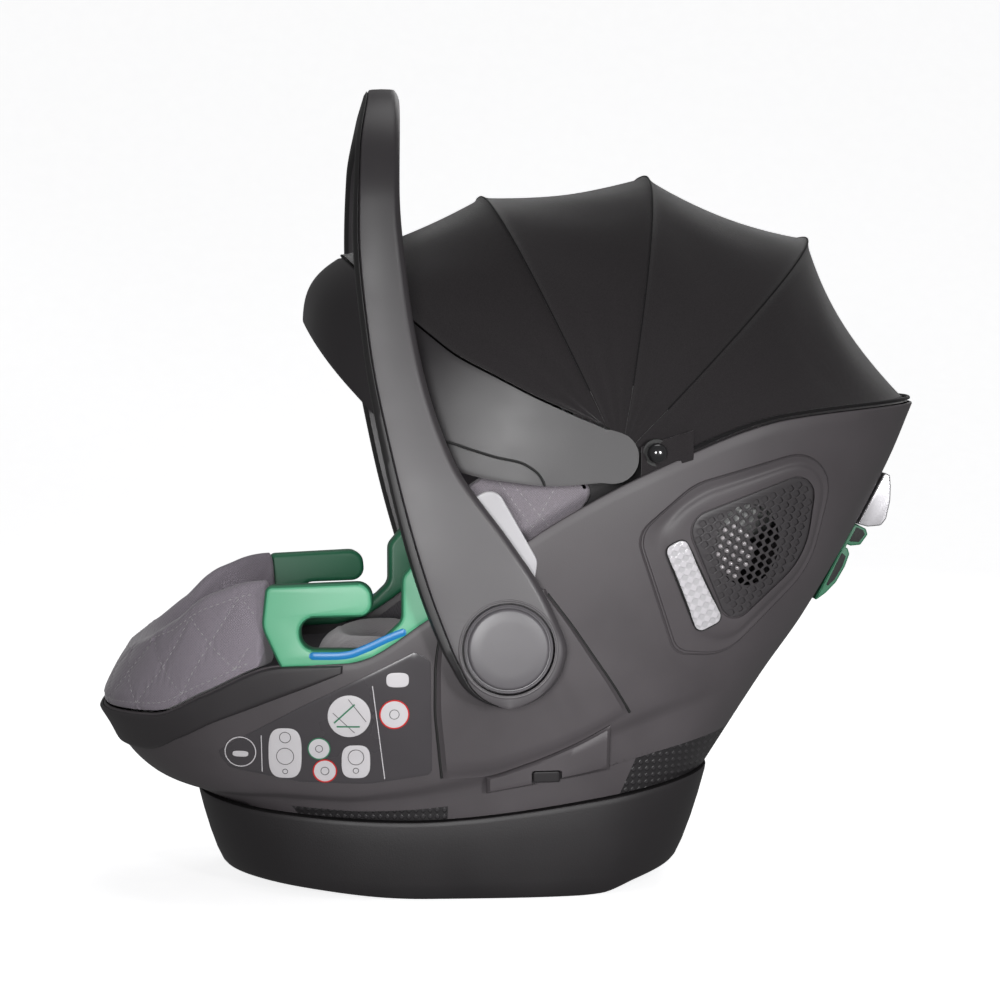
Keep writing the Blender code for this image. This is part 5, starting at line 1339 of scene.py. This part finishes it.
def arch(reach, half, angle, start, stations=ARCH_STATIONS):
    """Points of an arch over the seat from the child's left, in the half plane at angle (or angle(r))."""
    power = 2.0 / CANOPY_ROUNDNESS
    first = math.asin(min(start / reach, 1.0) ** (1.0 / power))
    curve = []
    for k in range(2 * stations + 1):
        turn = mix(first, math.pi - first, k / (2 * stations))
        r = reach * math.sin(turn) ** power
        y = -half * math.copysign(abs(math.cos(turn)) ** power, math.cos(turn))
        lean = math.radians(angle(r) if callable(angle) else angle)
        curve.append(CANOPY + Vector((r * math.cos(lean), y, r * math.sin(lean))))
    return curve


def inwards(p, depth):
    """A point moved towards the canopy's axis by that depth."""
    arm = Vector((p.x - CANOPY.x, 0.0, p.z - CANOPY.z))
    y = p.y * (1 - depth / CANOPY_HALF_WIDTH)
    return CANOPY + arm * (1 - depth / max(arm.length, 0.03)) + Vector((0.0, y, 0.0))


VISOR_SHARES = [0.0, 0.006, 0.02, 0.05, 0.08] + [0.08 + 0.84 * k / 16 for k in range(1, 17)] + [0.95, 0.98,
                                                                                                0.994, 1.0]


def build_visor():
    """The rigid visor: a band whose ends taper into round pivots beside the snap knobs."""
    top = arch(VISOR_REACH, CANOPY_HALF_WIDTH, VISOR_TOP, VISOR_START)
    foot = arch(VISOR_REACH, CANOPY_HALF_WIDTH, VISOR_FOOT, VISOR_START)
    front, back = [], []
    for a, b in zip(foot, top):
        row, behind = [], []
        for share in VISOR_SHARES:
            p = mix(a, b, share)
            arm = Vector((p.x - CANOPY.x, 0.0, p.z - CANOPY.z))
            swell = math.sin(math.pi * share) * VISOR_SWELL * ease(arm.length, 0.06, 0.20)
            rim = 0.0013 * (ease(min(share, 1 - share), 0.0, 0.03) - 1)
            fold = -0.0008 * math.exp(-((share - 0.90) / 0.012) ** 2) * ease(arm.length, 0.10, 0.20)
            p = p + arm.normalized() * (swell + rim + fold)
            row.append(p)
            behind.append(inwards(p, VISOR_THICKNESS + 2 * rim))
        front.append(row)
        back.append(behind)
    ends = []
    for side in (-1, 1):
        end_front, end_back = [], []
        for x in (0.0690, 0.0738, 0.0785, 0.0826, 0.0862, 0.0888, 0.0904, 0.0913):
            half = math.sqrt(max(WING_END_RADIUS ** 2 - (x - WING_END.x) ** 2, 0.0))
            high = WING_END.y + half if x > 0.0786 else 0.3757 + (0.0700 - x) * 0.30
            low = WING_END.y - half
            row = [Vector((x, side * CANOPY_HALF_WIDTH, mix(low, high, share))) for share in VISOR_SHARES]
            end_front.append(row)
            end_back.append([inwards(p, VISOR_THICKNESS) for p in row])
        ends.append((end_front, end_back))
    front = ends[0][0][::-1] + front + ends[1][0]
    back = ends[0][1][::-1] + back + ends[1][1]
    show("visor_band", slab(front, back), VISOR, "canopy_visor", ("canopy_visor",))
    for side_name, side in SIDES:
        # A dark tube along the visor's grip groove: painted shade in place of the groove.
        grip = [Vector((x, side * (CANOPY_HALF_WIDTH + 0.0002), z)) for x, z in GRIP]
        show("visor_grip_shade_" + side_name, tube(smooth_path(grip, 6), 0.0010, 8), DARK_SHADE_AND_TRIM, "canopy_visor")


GRIP = ((-0.0619, 0.3684), (-0.0439, 0.3621), (-0.0213, 0.3550), (-0.0034, 0.3511), (0.0052, 0.3472),
        (0.0131, 0.3409), (0.0178, 0.3323))


def smooth_path(points, steps):
    """A path through points with rounded turns."""
    out = []
    last = len(points) - 1
    for k in range(last):
        a, b, c, d = points[max(k - 1, 0)], points[k], points[k + 1], points[min(k + 2, last)]
        for j in range(steps):
            t = j / steps
            out.append(0.5 * ((2 * b) + (c - a) * t + (2 * a - 5 * b + 4 * c - d) * t * t
                              + (3 * b - a - 3 * c + d) * t ** 3))
    out.append(points[-1].copy())
    return out


def hem_row():
    """Where the canopy's hem lies on the shell's rim, round the head end."""
    count = 2 * ARCH_STATIONS
    return [shell_point(mix(-1.30, 1.30, k / count), 0.0, -0.0045, 0.0015) for k in range(count + 1)]


GORE_ROWS = 26
GORES = (("front", "canopy_front", "canopy_visor", 0.0045),
         ("middle", "canopy_middle", "canopy_front", 0.0055),
         ("rear", "canopy_rear", "canopy_middle", 0.0075), ("back", "seat", "canopy_rear", 0.0105))


def gore_edges():
    """The rows of points that the four fabric panels are stretched between, front to back."""
    rows = [arch(VISOR_REACH, CANOPY_HALF_WIDTH, lambda r: VISOR_TOP(r) - math.degrees(0.0016 / r),
                 FABRIC_START)]
    for _, angle, reach in BOWS:
        rows.append(arch(reach, CANOPY_HALF_WIDTH, angle, FABRIC_START))
    rows.append(hem_row())
    return rows


def gore_surface(ahead, behind, sag, phase):
    """A gore's outer rows: it hangs between its two bows, and puckers where it gathers at the knobs."""
    rows = []
    for k in range(GORE_ROWS + 1):
        share = 0.5 - 0.5 * math.cos(math.pi * k / GORE_ROWS)
        row = []
        for c, (a, b) in enumerate(zip(ahead, behind)):
            p = mix(a, b, mix(0.004, 0.996, share))
            arm = Vector((p.x - CANOPY.x, 0.0, p.z - CANOPY.z))
            along = c / (len(ahead) - 1)
            over = ease(arm.length, 0.05, 0.17)
            chord = (b - a).length
            hang = sag * math.sin(math.pi * share) ** 0.8 * mix(0.35, 1.0, over) * min(chord / 0.12, 1.0)
            bead = 0.0011 * (math.exp(-(share * chord / 0.003) ** 2) + math.exp(-((1 - share) * chord / 0.003) ** 2))
            near = 1 - ease(min(along, 1 - along), 0.02, 0.24)
            pucker = 0.0006 * near * math.sin(share * 19 + phase + 6 * along) * math.sin(math.pi * share)
            ripple = 0.0004 * math.sin(along * 47 + phase * 3 + 4 * share) * math.sin(math.pi * share)
            p = inwards(p, (hang - bead - pucker - ripple) * ease(arm.length, 0.010, 0.045))
            tuck = 0.0035 * (1 - ease(arm.length, 0.026, 0.052))
            row.append(p - Vector((0.0, math.copysign(tuck, p.y), 0.0)))
        rows.append(row)
    return rows


def build_gores():
    rows = gore_edges()
    for k, (name, behind_body, ahead_body, sag) in enumerate(GORES):
        outer = gore_surface(rows[k], rows[k + 1], sag, 1.7 * k)
        under = [[inwards(p, 0.0012) for p in row] for row in outer]
        gore = show("canopy_gore_" + name, slab(outer, under), CANOPY_CLOTH, None,
                    ("canopy_panel_" + name,), angle=50, weld=0.0)
        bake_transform(gore)
        if k < 3:
            seam = [inwards(p, -0.0012) for p in rows[k + 1]]
            seam = [p for p in seam if (p - CANOPY).xz.length > 0.052]
            show("canopy_seam_" + name, tube(seam, 0.0009, 6, flatten=0.7), CANOPY_PIPING, behind_body,
                 angle=60)
    for side_name, side in SIDES:
        flap_path = []
        for t in [k / 24 for k in range(25)]:
            flap_path.append((mix(0.093, 0.134, t), mix(0.3505, 0.3635, t)))
        front, back = [], []
        for x, z in flap_path:
            row, behind = [], []
            for s in [j / 10 for j in range(11)]:
                y = 0.1890 + 0.0012 * math.sin(math.pi * s) + 0.0006 * math.sin(x * 300)
                up = z + mix(-0.011, 0.012, s)
                row.append(Vector((x, side * y, up)))
                behind.append(Vector((x, side * (y - 0.0011), up)))
            front.append(row)
            back.append(behind)
        flap = show("canopy_flap_" + side_name, slab(front, back), CANOPY_CLOTH, "seat",
                    angle=60)
        profile = ((0.0028, 0.1890), (0.0050, 0.1892), (0.0066, 0.1903), (0.0076, 0.1922), (0.0080, 0.1944),
                   (0.0077, 0.1966), (0.0068, 0.1984), (0.0054, 0.1997), (0.0036, 0.2005), (0.0016, 0.2009))
        show("snap_knob_" + side_name, lathe(KNOB, side, profile, 48), GLOSS, "seat",
             ("canopy_knob_" + side_name,))
        collar = ((0.0060, 0.1880), (0.0108, 0.1880), (0.0112, 0.1888), (0.0106, 0.1897), (0.0060, 0.1898))
        hoop = [[Vector((KNOB.x + r * math.cos(a), side * y, KNOB.z + r * math.sin(a)))
                 for a in (2 * math.pi * k / 48 for k in range(48))] for r, y in collar]
        show("knob_collar_" + side_name, loft(hoop, wrap=True), DARK_SHADE_AND_TRIM, "seat")
    hem = [shell_point(mix(-1.28, 1.28, k / 200), 0.0, -0.0030, 0.0050) for k in range(201)]
    show("canopy_hem", tube(hem, 0.0017, 8, flatten=0.8), CANOPY_PIPING, "seat", angle=60)
    stitch = [inwards(p, -0.0003) for p in outer[-4][4:-4]]
    show("hem_stitches", dashes(stitch, radius=0.0004), THREAD_DARK, "seat", angle=60)


KNOB = Vector((0.105, 0.0, 0.358))


# ---- soft goods and harness --------------------------------------------------------------------
SPINE = smooth_curve([(-0.330, 0.125), (-0.250, 0.128), (-0.165, 0.158), (-0.100, 0.154), (-0.030, 0.142),
                      (0.060, 0.197), (0.300, 0.355)])
BOWL_POWER = 2.6
BOWL_COLUMNS = 160
FOAM = (0.0125, 0.0052, 0.0180, 0.0090, 0.014)
COVER = (0.0215, 0.009, 0.0, 0.0110, 0.009)


def bowl_height(x, y, inset, drop):
    """Height of a bowl hung inside the rim, whose middle line is the spine lowered by drop."""
    reach = HEAD_LINE(0) - inset if x > 0 else -FOOT_LINE(0) - inset
    wide = RIM_HALF_WIDTH - inset
    share = ((abs(x) / reach) ** ROUNDNESS + (abs(y) / wide) ** ROUNDNESS) ** (1 / ROUNDNESS)
    share = min(max(share, 0.001), 1.0)
    sink = (1 - share ** BOWL_POWER) ** (1 / BOWL_POWER)
    return mix(RIM_LINE(x / share), SPINE(x) - drop, sink)


def bowl_ring(share, inset, drop, lift=0.0):
    ring = []
    for k in range(BOWL_COLUMNS):
        along_x, along_y = plan(2 * math.pi * (k + 0.5) / BOWL_COLUMNS)
        reach = HEAD_LINE(0) - inset if along_x > 0 else -FOOT_LINE(0) - inset
        x = along_x * reach * share
        y = along_y * (RIM_HALF_WIDTH - inset) * share
        ring.append(Vector((x, y, bowl_height(x, y, inset, drop) + lift)))
    return ring


def quilt(x, y):
    """Depth of the cover's sewn diamond channels."""
    u, v = (x + y) / 0.052, (x - y) / 0.052
    off = min(abs(u - round(u)), abs(v - round(v)))
    return 0.0016 * math.exp(-(off / 0.05) ** 2)


def build_bowl(name, measures, material, node, quilted):
    """A bucket-shaped lining."""
    inset, wall, drop, floor, rim_drop = measures
    shares = [0.02 + 0.96 * k / 44 for k in range(45)]
    rings = [bowl_ring(share, inset, drop + floor) for share in shares[::4]]
    for share, lift in ((0.993, -rim_drop - 0.003), (1.0, -rim_drop - 0.0005)):
        rings.append(bowl_ring(share, inset, drop + floor, lift))
    rings.append(bowl_ring(1.0, inset + wall * 0.5, drop, -rim_drop + 0.0005))
    rings.append(bowl_ring(0.998, inset + wall, drop, -rim_drop - 0.001))
    for share in reversed(shares):
        ring = bowl_ring(share, inset + wall, drop)
        if quilted:
            ring = [p - Vector((0.0, 0.0, quilt(p.x, p.y))) for p in ring]
        rings.append(ring)
    obj = show(name, loft(rings), material, "seat", (node,), angle=60)


FOOT_COVER_END_X = -0.2065
FOOT_COVER_LIFT = 0.0020
FOOT_COVER_SECTION = ((0.001, 0.02), (0.000, 0.15), (0.006, 0.60), (0.012, 0.88), (0.020, 1.0),
                      (0.029, 0.94), (0.034, 0.60), (0.036, 0.10), (0.034, 0.02))
CREST = smooth_curve([(-0.340, 0.050), (-0.312, 0.064), (-0.290, 0.073), (-0.265, 0.079), (-0.235, 0.076),
                      (-0.203, 0.066)])


def foot_ring(angle):
    """The foot cover's section at that angle round the foot end."""
    rim = shell_point(angle, 0.0)
    lean = 1.0 + 0.9 * ease(-rim.x, 0.250, 0.330)
    outward = shell_normal(angle)
    corners = [Vector((inset, up)) for inset, up in FOOT_COVER_SECTION]
    path = smooth_path([p.to_3d() for p in corners + corners[:1]], 5)[:-1]
    ring = []
    for p in path:
        place = rim - outward * (p.x * lean)
        ring.append(Vector((place.x, place.y, rim.z + FOOT_COVER_LIFT + CREST(rim.x) * p.y)))
    return ring


def build_foot_cover():
    """The padded cover round the foot end, with quilted triangles sewn in dashed thread."""
    angles = foot_angles(FOOT_COVER_END_X, 240)
    rings = [foot_ring(angle) for angle in angles]
    along = 0.0
    stations = []
    for k, ring in enumerate(rings):
        if k:
            along += (ring[5] - rings[k - 1][5]).length
        stations.append(along)
    swollen = []
    for along, angle, ring in zip(stations, angles, rings):
        rim = shell_point(angle, 0.0)
        outward = shell_normal(angle)
        moved = []
        for p in ring:
            up = (p.z - rim.z - FOOT_COVER_LIFT) / CREST(rim.x)
            depth = quilt_line(along, up)
            side = 1.0 if (p - rim).dot(outward) > -0.018 else -1.0
            moved.append(p - outward * (side * depth))
        swollen.append(moved)
    caps = []
    for ring, follow in ((swollen[0], swollen[1]), (swollen[-1], swollen[-2])):
        outward = (ring[0] - follow[0]).normalized()
        middle = centre_of(ring)
        caps.append([[mix(p, middle, s) + outward * d for p in ring] for s,
                     d in ((0.10, 0.0018), (0.35, 0.0034))])
    obj = show("foot_cover_pad", loft(caps[0][::-1] + swollen + caps[1]), GREY_CLOTH, "seat",
               ("foot_cover",), angle=60)
    stitches = []
    for slope in (1, -1):
        for start in range(-2, 18):
            path = []
            for j in range(25):
                up = mix(0.10, 0.86, j / 24)
                at = (start + slope * (up - 0.10) / 0.76 + (0 if slope > 0 else 1)) * TRIANGLE
                if 0.004 < at < stations[-1] - 0.004:
                    path.append(point_on_foot(at, up, stations, swollen, angles))
            if len(path) > 6:
                stitches.append(dashes(path, 0.0034, 0.0024, 0.00042))
    for up in (0.10, 0.86):
        path = [point_on_foot(mix(0.004, stations[-1] - 0.004, j / 300), up, stations, swollen,
                              angles) for j in range(301)]
        stitches.append(dashes(path, 0.0034, 0.0024, 0.00042))
    show("foot_cover_stitches", joined(stitches), THREAD_PALE, "seat", angle=60)


TRIANGLE = 0.052


def quilt_line(along, up):
    """Depth of the sewn channels at a place on the foot cover."""
    share = (up - 0.10) / 0.76
    if not -0.1 < share < 1.1:
        return 0.0
    off = 1.0
    for slope in (1, -1):
        at = along / TRIANGLE - slope * share
        off = min(off, abs(at - round(at)))
    rows = min(abs(share), abs(1 - share)) * 0.6
    return 0.0017 * math.exp(-(min(off, rows * 1.6) / 0.045) ** 2)


def point_on_foot(along, up, stations, rings, angles):
    """A point just on the outer face of the foot cover."""
    k = next(i for i in range(1, len(stations)) if stations[i] >= along or i == len(stations) - 1)
    t = (along - stations[k - 1]) / (stations[k] - stations[k - 1])
    found = []
    for i in (k - 1, k):
        rim = shell_point(angles[i], 0.0)
        outward = shell_normal(angles[i])
        height = rim.z + FOOT_COVER_LIFT + CREST(rim.x) * up
        best = None
        ring = rings[i]
        for a, b in zip(ring, ring[1:] + ring[:1]):
            if (a.z - height) * (b.z - height) <= 0 and abs(a.z - b.z) > 1e-9:
                p = mix(a, b, (height - a.z) / (b.z - a.z))
                if best is None or (p - best).dot(outward) > 0:
                    best = p
        found.append((best or ring[5]) + outward * 0.0002)
    return mix(found[0], found[1], t)


INSERT_CENTRE_X, INSERT_REACH, INSERT_HALF_WIDTH = -0.042, 0.128, 0.118
INSERT_LIFT = 0.0115


def cover_top(x, y):
    return bowl_height(x, y, COVER[0] + COVER[1], COVER[2])


def insert_thickness(share):
    """Padding of the infant insert from its middle (0) to its edge (1)."""
    return mix(0.010, 0.034, ease(share, 0.35, 0.80)) - 0.026 * ease(share, 0.85, 1.0)


def insert_share(x, y):
    return ((abs(x - INSERT_CENTRE_X) / INSERT_REACH) ** 2.5 + (abs(y) / INSERT_HALF_WIDTH) ** 2.5) ** 0.4


def insert_top(x, y):
    return cover_top(x, y) + INSERT_LIFT + insert_thickness(min(insert_share(x, y), 1.0))


def pump(obj, pressure, cap, voxel=0.005):
    """Swell a padded piece with a cloth simulation, and keep every point within cap of where it began."""
    remesh = obj.modifiers.new("remesh", "REMESH")
    remesh.mode = "VOXEL"
    remesh.voxel_size = voxel
    finish_mesh(obj)
    start = [v.co.copy() for v in obj.data.vertices]
    cloth = obj.modifiers.new("cloth", "CLOTH")
    cloth.settings.use_pressure = True
    cloth.settings.uniform_pressure_force = pressure
    cloth.settings.effector_weights.gravity = 0.0
    scene = bpy.context.scene
    for step in range(1, 21):
        scene.frame_set(step)
    graph = bpy.context.evaluated_depsgraph_get()
    swollen = [v.co.copy() for v in obj.evaluated_get(graph).data.vertices]
    obj.modifiers.clear()
    for vert, a, b in zip(obj.data.vertices, start, swollen):
        move = b - a
        vert.co = a + move * min(1.0, cap / max(move.length, 1e-9))
    scene.frame_set(1)
    smooth = obj.modifiers.new("finer", "SUBSURF")
    smooth.levels = 1
    smooth.render_levels = 1
    finish_mesh(obj)
    obj.data.set_sharp_from_angle(angle=math.radians(80))


def build_insert():
    rings = []
    shares = [0.06 + 0.94 * k / 22 for k in range(23)]
    for upper, order in ((False, shares[::2] + [1.0]), (True, shares[::-1])):
        for share in order:
            ring = []
            for k in range(96):
                along_x, along_y = plan(2 * math.pi * (k + 0.5) / 96, 2.5)
                x = INSERT_CENTRE_X + along_x * INSERT_REACH * share
                y = along_y * INSERT_HALF_WIDTH * share
                z = insert_top(x, y) - 0.002 if upper else cover_top(x, y) + INSERT_LIFT + 0.002
                ring.append(Vector((x, y, z)))
            rings.append(ring)
    insert = show("insert_cushion", loft(rings), INSERT_CLOTH, "seat", ("infant_insert",),
                  angle=70)
    pump(insert, 3.0, 0.004)
    for vert in insert.data.vertices:
        x, y = vert.co.x, vert.co.y
        share = insert_share(x, y)
        if vert.co.z > insert_top(x, y) - 0.012:
            vert.co.z -= 0.0025 * math.exp(-((share - 0.60) / 0.035) ** 2)
    ring = []
    for k in range(240):
        along_x, along_y = plan(2 * math.pi * k / 240, 2.5)
        x = INSERT_CENTRE_X + along_x * INSERT_REACH * 0.60
        y = along_y * INSERT_HALF_WIDTH * 0.60
        ring.append(Vector((x, y, insert_top(x, y) - 0.0012)))
    show("insert_stitches", dashes(ring, 0.0034, 0.0024, 0.0004), THREAD_PALE, "seat",
         angle=60)


def ribbon(name, path, width, thickness, lift, material, node, body="seat"):
    """A strap lying on the insert.  path gives (x, y) along its middle."""
    shares = [0.0, 0.03, 0.10, 0.22, 0.36, 0.5, 0.64, 0.78, 0.90, 0.97, 1.0]
    under, over = [], []
    for x, y in path:
        flat = [Vector((x, y + width * (s - 0.5), 0.0)) for s in shares]
        level = max(insert_top(p.x, p.y) for p in flat) + lift
        round_off = [thickness * 0.28 * (1 - ease(min(s, 1 - s), 0.0, 0.07)) for s in shares]
        under.append([Vector((p.x, p.y, level + r)) for p, r in zip(flat, round_off)])
        over.append([Vector((p.x, p.y, level + thickness - r)) for p, r in zip(flat, round_off)])
    return show(name, slab(over, under), material, body, (node,), angle=60)


BUCKLE_X = -0.034
BUCKLE_SIZE = Vector((0.054, 0.046, 0.019))
BUTTON_SIZE = Vector((0.026, 0.022, 0.008))
BUCKLE_LIFT = 0.003


def rounded_block(centre, size, corner, edge, dome=0.0):
    """A block with rounded corners and edges, and a slightly domed top."""
    rings = []
    for drop, share in ((1.0, -edge * 0.6), (0.96, 0.0), (0.30, 0.0), (0.12, -edge * 0.25),
                        (0.04, -edge * 0.6),
                        (0.0, -edge * 1.2), (-0.01, -edge * 3.0), (-0.02, -min(size.x, size.y) * 0.42)):
        ring = []
        for k in range(64):
            u, v = plan(2 * math.pi * (k + 0.5) / 64, corner)
            z = centre.z + size.z * (0.5 - drop) + (dome if drop < 0.0 else 0.0)
            ring.append(Vector((centre.x + u * (size.x / 2 + share), centre.y + v * (size.y / 2 + share), z)))
        rings.append(ring)
    return loft(rings)


BOLSTER = rounded_outline([(-0.060, 0.258, 0.010), (-0.054, 0.322, 0.018), (-0.020, 0.344, 0.030),
                           (0.036, 0.3455, 0.020), (0.062, 0.328, 0.012), (0.040, 0.300, 0.020),
                           (0.0, 0.256, 0.030)], 8)
BOLSTER_Y = 0.1500


def bolster_seam(z):
    return -0.020 + 0.72 * (0.3305 - z)


def bolster_y(x, z):
    """The bolster's plump face, with a sewn channel that curves up its front."""
    round_x, round_z = (x + 0.002) / 0.062, (z - 0.303) / 0.046
    seam = 0.8 * abs(x - bolster_seam(z))
    return BOLSTER_Y + 0.0085 - 0.0045 * min(round_x * round_x + round_z * round_z, 1.0) \
        - 0.0016 * math.exp(-(seam / 0.0022) ** 2)


def build_bolsters():
    """The padded side wings of the seat cover, beside the child's head."""
    for side_name, side in SIDES:
        form = plate_form(BOLSTER, lambda x, z: BOLSTER_Y - 0.004, bolster_y, side, 0.0045, 6,
                          [k / 24 for k in range(1, 24)])
        pad = show("side_bolster_" + side_name, form, BOLSTER_CLOTH, "seat", angle=70)
        runs = []
        for a, b in (((-0.016, 0.334), (0.011, 0.2965)), ((-0.006, 0.333), (0.024, 0.298)),
                     ((0.032, 0.336), (0.006, 0.290))):
            line = [mix(Vector(a), Vector(b), k / 30) for k in range(31)]
            runs.append([Vector((p.x, side * (bolster_y(p.x, p.y) + 0.0002), p.y)) for p in line])
        stitches = joined([dashes(run, 0.0030, 0.0022, 0.00036) for run in runs])
        show("bolster_stitches_" + side_name, stitches, THREAD_PALE, "seat", angle=60)


def build_harness():
    for side_name, side in SIDES:
        path = []
        for k in range(33):
            x = mix(0.046, -0.003, k / 32)
            path.append((x, side * mix(0.046, 0.012, ease(k / 32, 0.3, 1.0))))
        ribbon("shoulder_web_" + side_name, path, 0.022, 0.0016, 0.0036, WEBBING,
               "harness_strap_" + side_name)
        pad = ribbon("shoulder_cushion_" + side_name, path[4:21], 0.034, 0.0070, 0.0062, COVER_CLOTH,
                     "shoulder_pad_" + side_name)
    path = [(mix(-0.118, -0.0625, k / 20), 0.0) for k in range(21)]
    ribbon("crotch_web", path, 0.030, 0.0016, 0.0030, WEBBING, "crotch_strap")
    half_x, half_y = BUCKLE_SIZE.x / 2, BUCKLE_SIZE.y / 2
    top = max(insert_top(BUCKLE_X + dx, half_y) for dx in (-half_x, 0.0,
                                                           half_x)) + BUCKLE_LIFT + BUCKLE_SIZE.z
    body = rounded_block(Vector((BUCKLE_X, 0.0, top - BUCKLE_SIZE.z / 2)), BUCKLE_SIZE, 4.5, 0.0022)
    buckle = show("buckle_body", body, HANDLE, "seat", ("buckle",))
    well = rounded_block(Vector((BUCKLE_X, 0.0, top + 0.002)), BUTTON_SIZE + Vector((0.001, 0.001, 0.010)),
                         5.0, 0.0)
    cut_through(buckle, well)
    knob = rounded_block(Vector((BUCKLE_X, 0.0, top + 0.001 - BUTTON_SIZE.z / 2)), BUTTON_SIZE, 5.0, 0.0008,
                         0.0002)
    show("buckle_press", knob, RED, "buckle_button", ("buckle_button",))


RECLINE = math.radians(34.5)
HEADREST_LENGTH = 0.19
HEADREST_PATH = ((-0.134, 0.095), (-0.1355, 0.066), (-0.131, 0.038), (-0.116, 0.014), (-0.088, 0.002),
                 (-0.040, -0.002))
HEADREST = Vector((0.052, 0.0, 0.252))


def headrest_place(along, y, out):
    """A point in the headrest's own axes: up the recline, across, and out towards the child."""
    up = Vector((math.cos(RECLINE), 0.0, math.sin(RECLINE)))
    forward = Vector((-math.sin(RECLINE), 0.0, math.cos(RECLINE)))
    return HEADREST + up * along + forward * out + Vector((0.0, y, 0.0))


def headrest_layer(name, low, high, trim, material, node, inset=0.0):
    """A U-shaped layer of the headrest between two depths, low being nearer the shell."""
    corners = [Vector((p[0], p[1], 0.0)) for p in HEADREST_PATH]
    corners += [Vector((0.0, -0.002, 0.0))] + [Vector((-p.x, p.y, 0.0)) for p in reversed(corners)]
    path = smooth_path(corners, 8)
    near, far = [], []
    for k, p in enumerate(path):
        tangent = (path[min(k + 1, len(path) - 1)] - path[max(k - 1, 0)]).normalized()
        normal = Vector((-tangent.y, tangent.x, 0.0))
        end = ease(min(k, len(path) - 1 - k) / len(path), 0.0, 0.05)
        near_row, far_row = [], []
        for j in range(31):
            share = j / 30
            along = mix(trim + inset, HEADREST_LENGTH - trim - inset, share)
            plump = math.sin(math.pi * mix(0.12, 0.88, share)) * mix(0.4, 1.0, end)
            channel = 0.0022 * math.exp(-(((share * 3) % 1 - 0.5) / 0.09) ** 2) if high > 0 else 0.0
            low_at, high_at = p + normal * low, p + normal * (mix(low + 0.0025, high, plump) - channel)
            near_row.append(headrest_place(along, low_at.x, low_at.y))
            far_row.append(headrest_place(along, high_at.x, high_at.y))
        near.append(near_row)
        far.append(far_row)
    return show(name, slab(far, near), material, "headrest", (node,), angle=60)


def build_headrest():
    headrest_layer("headrest_back", -0.0085, -0.0060, 0.004, ROCKER, "headrest_shell")
    pad = headrest_layer("headrest_cushion", -0.0050, 0.0105, 0.0, INSERT_CLOTH,
                         "headrest_pad")


# ---- pieces kept from the CAD ------------------------------------------------------------------
def dress_cad():
    """Materials for the small hard pieces whose CAD shape is right."""
    for name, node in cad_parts.items():
        look = STEEL
        if node.hide_render:
            continue
        node.data.materials.clear()
        node.data.materials.append(look)


build_studio()
build_shell()
build_bumper()
build_rocker()
for side_name, side in SIDES:
    build_side_cover(side_name, side)
    build_cover_gap_shade(side_name, side)
    build_adapter(side_name, side)
    build_vent(side_name, side)
    build_belt_guide(side_name, side)
    build_side_plate(side_name, side)
    build_label(side_name, side)
build_back()
build_handle()
build_visor()
build_gores()
build_bowl("foam_bucket", FOAM, FOAM_BEADS, "foam_liner", False)
build_bowl("cover_bucket", COVER, COVER_CLOTH, "seat_cover", True)
build_foot_cover()
build_insert()
build_bolsters()
build_harness()
build_headrest()
dress_cad()
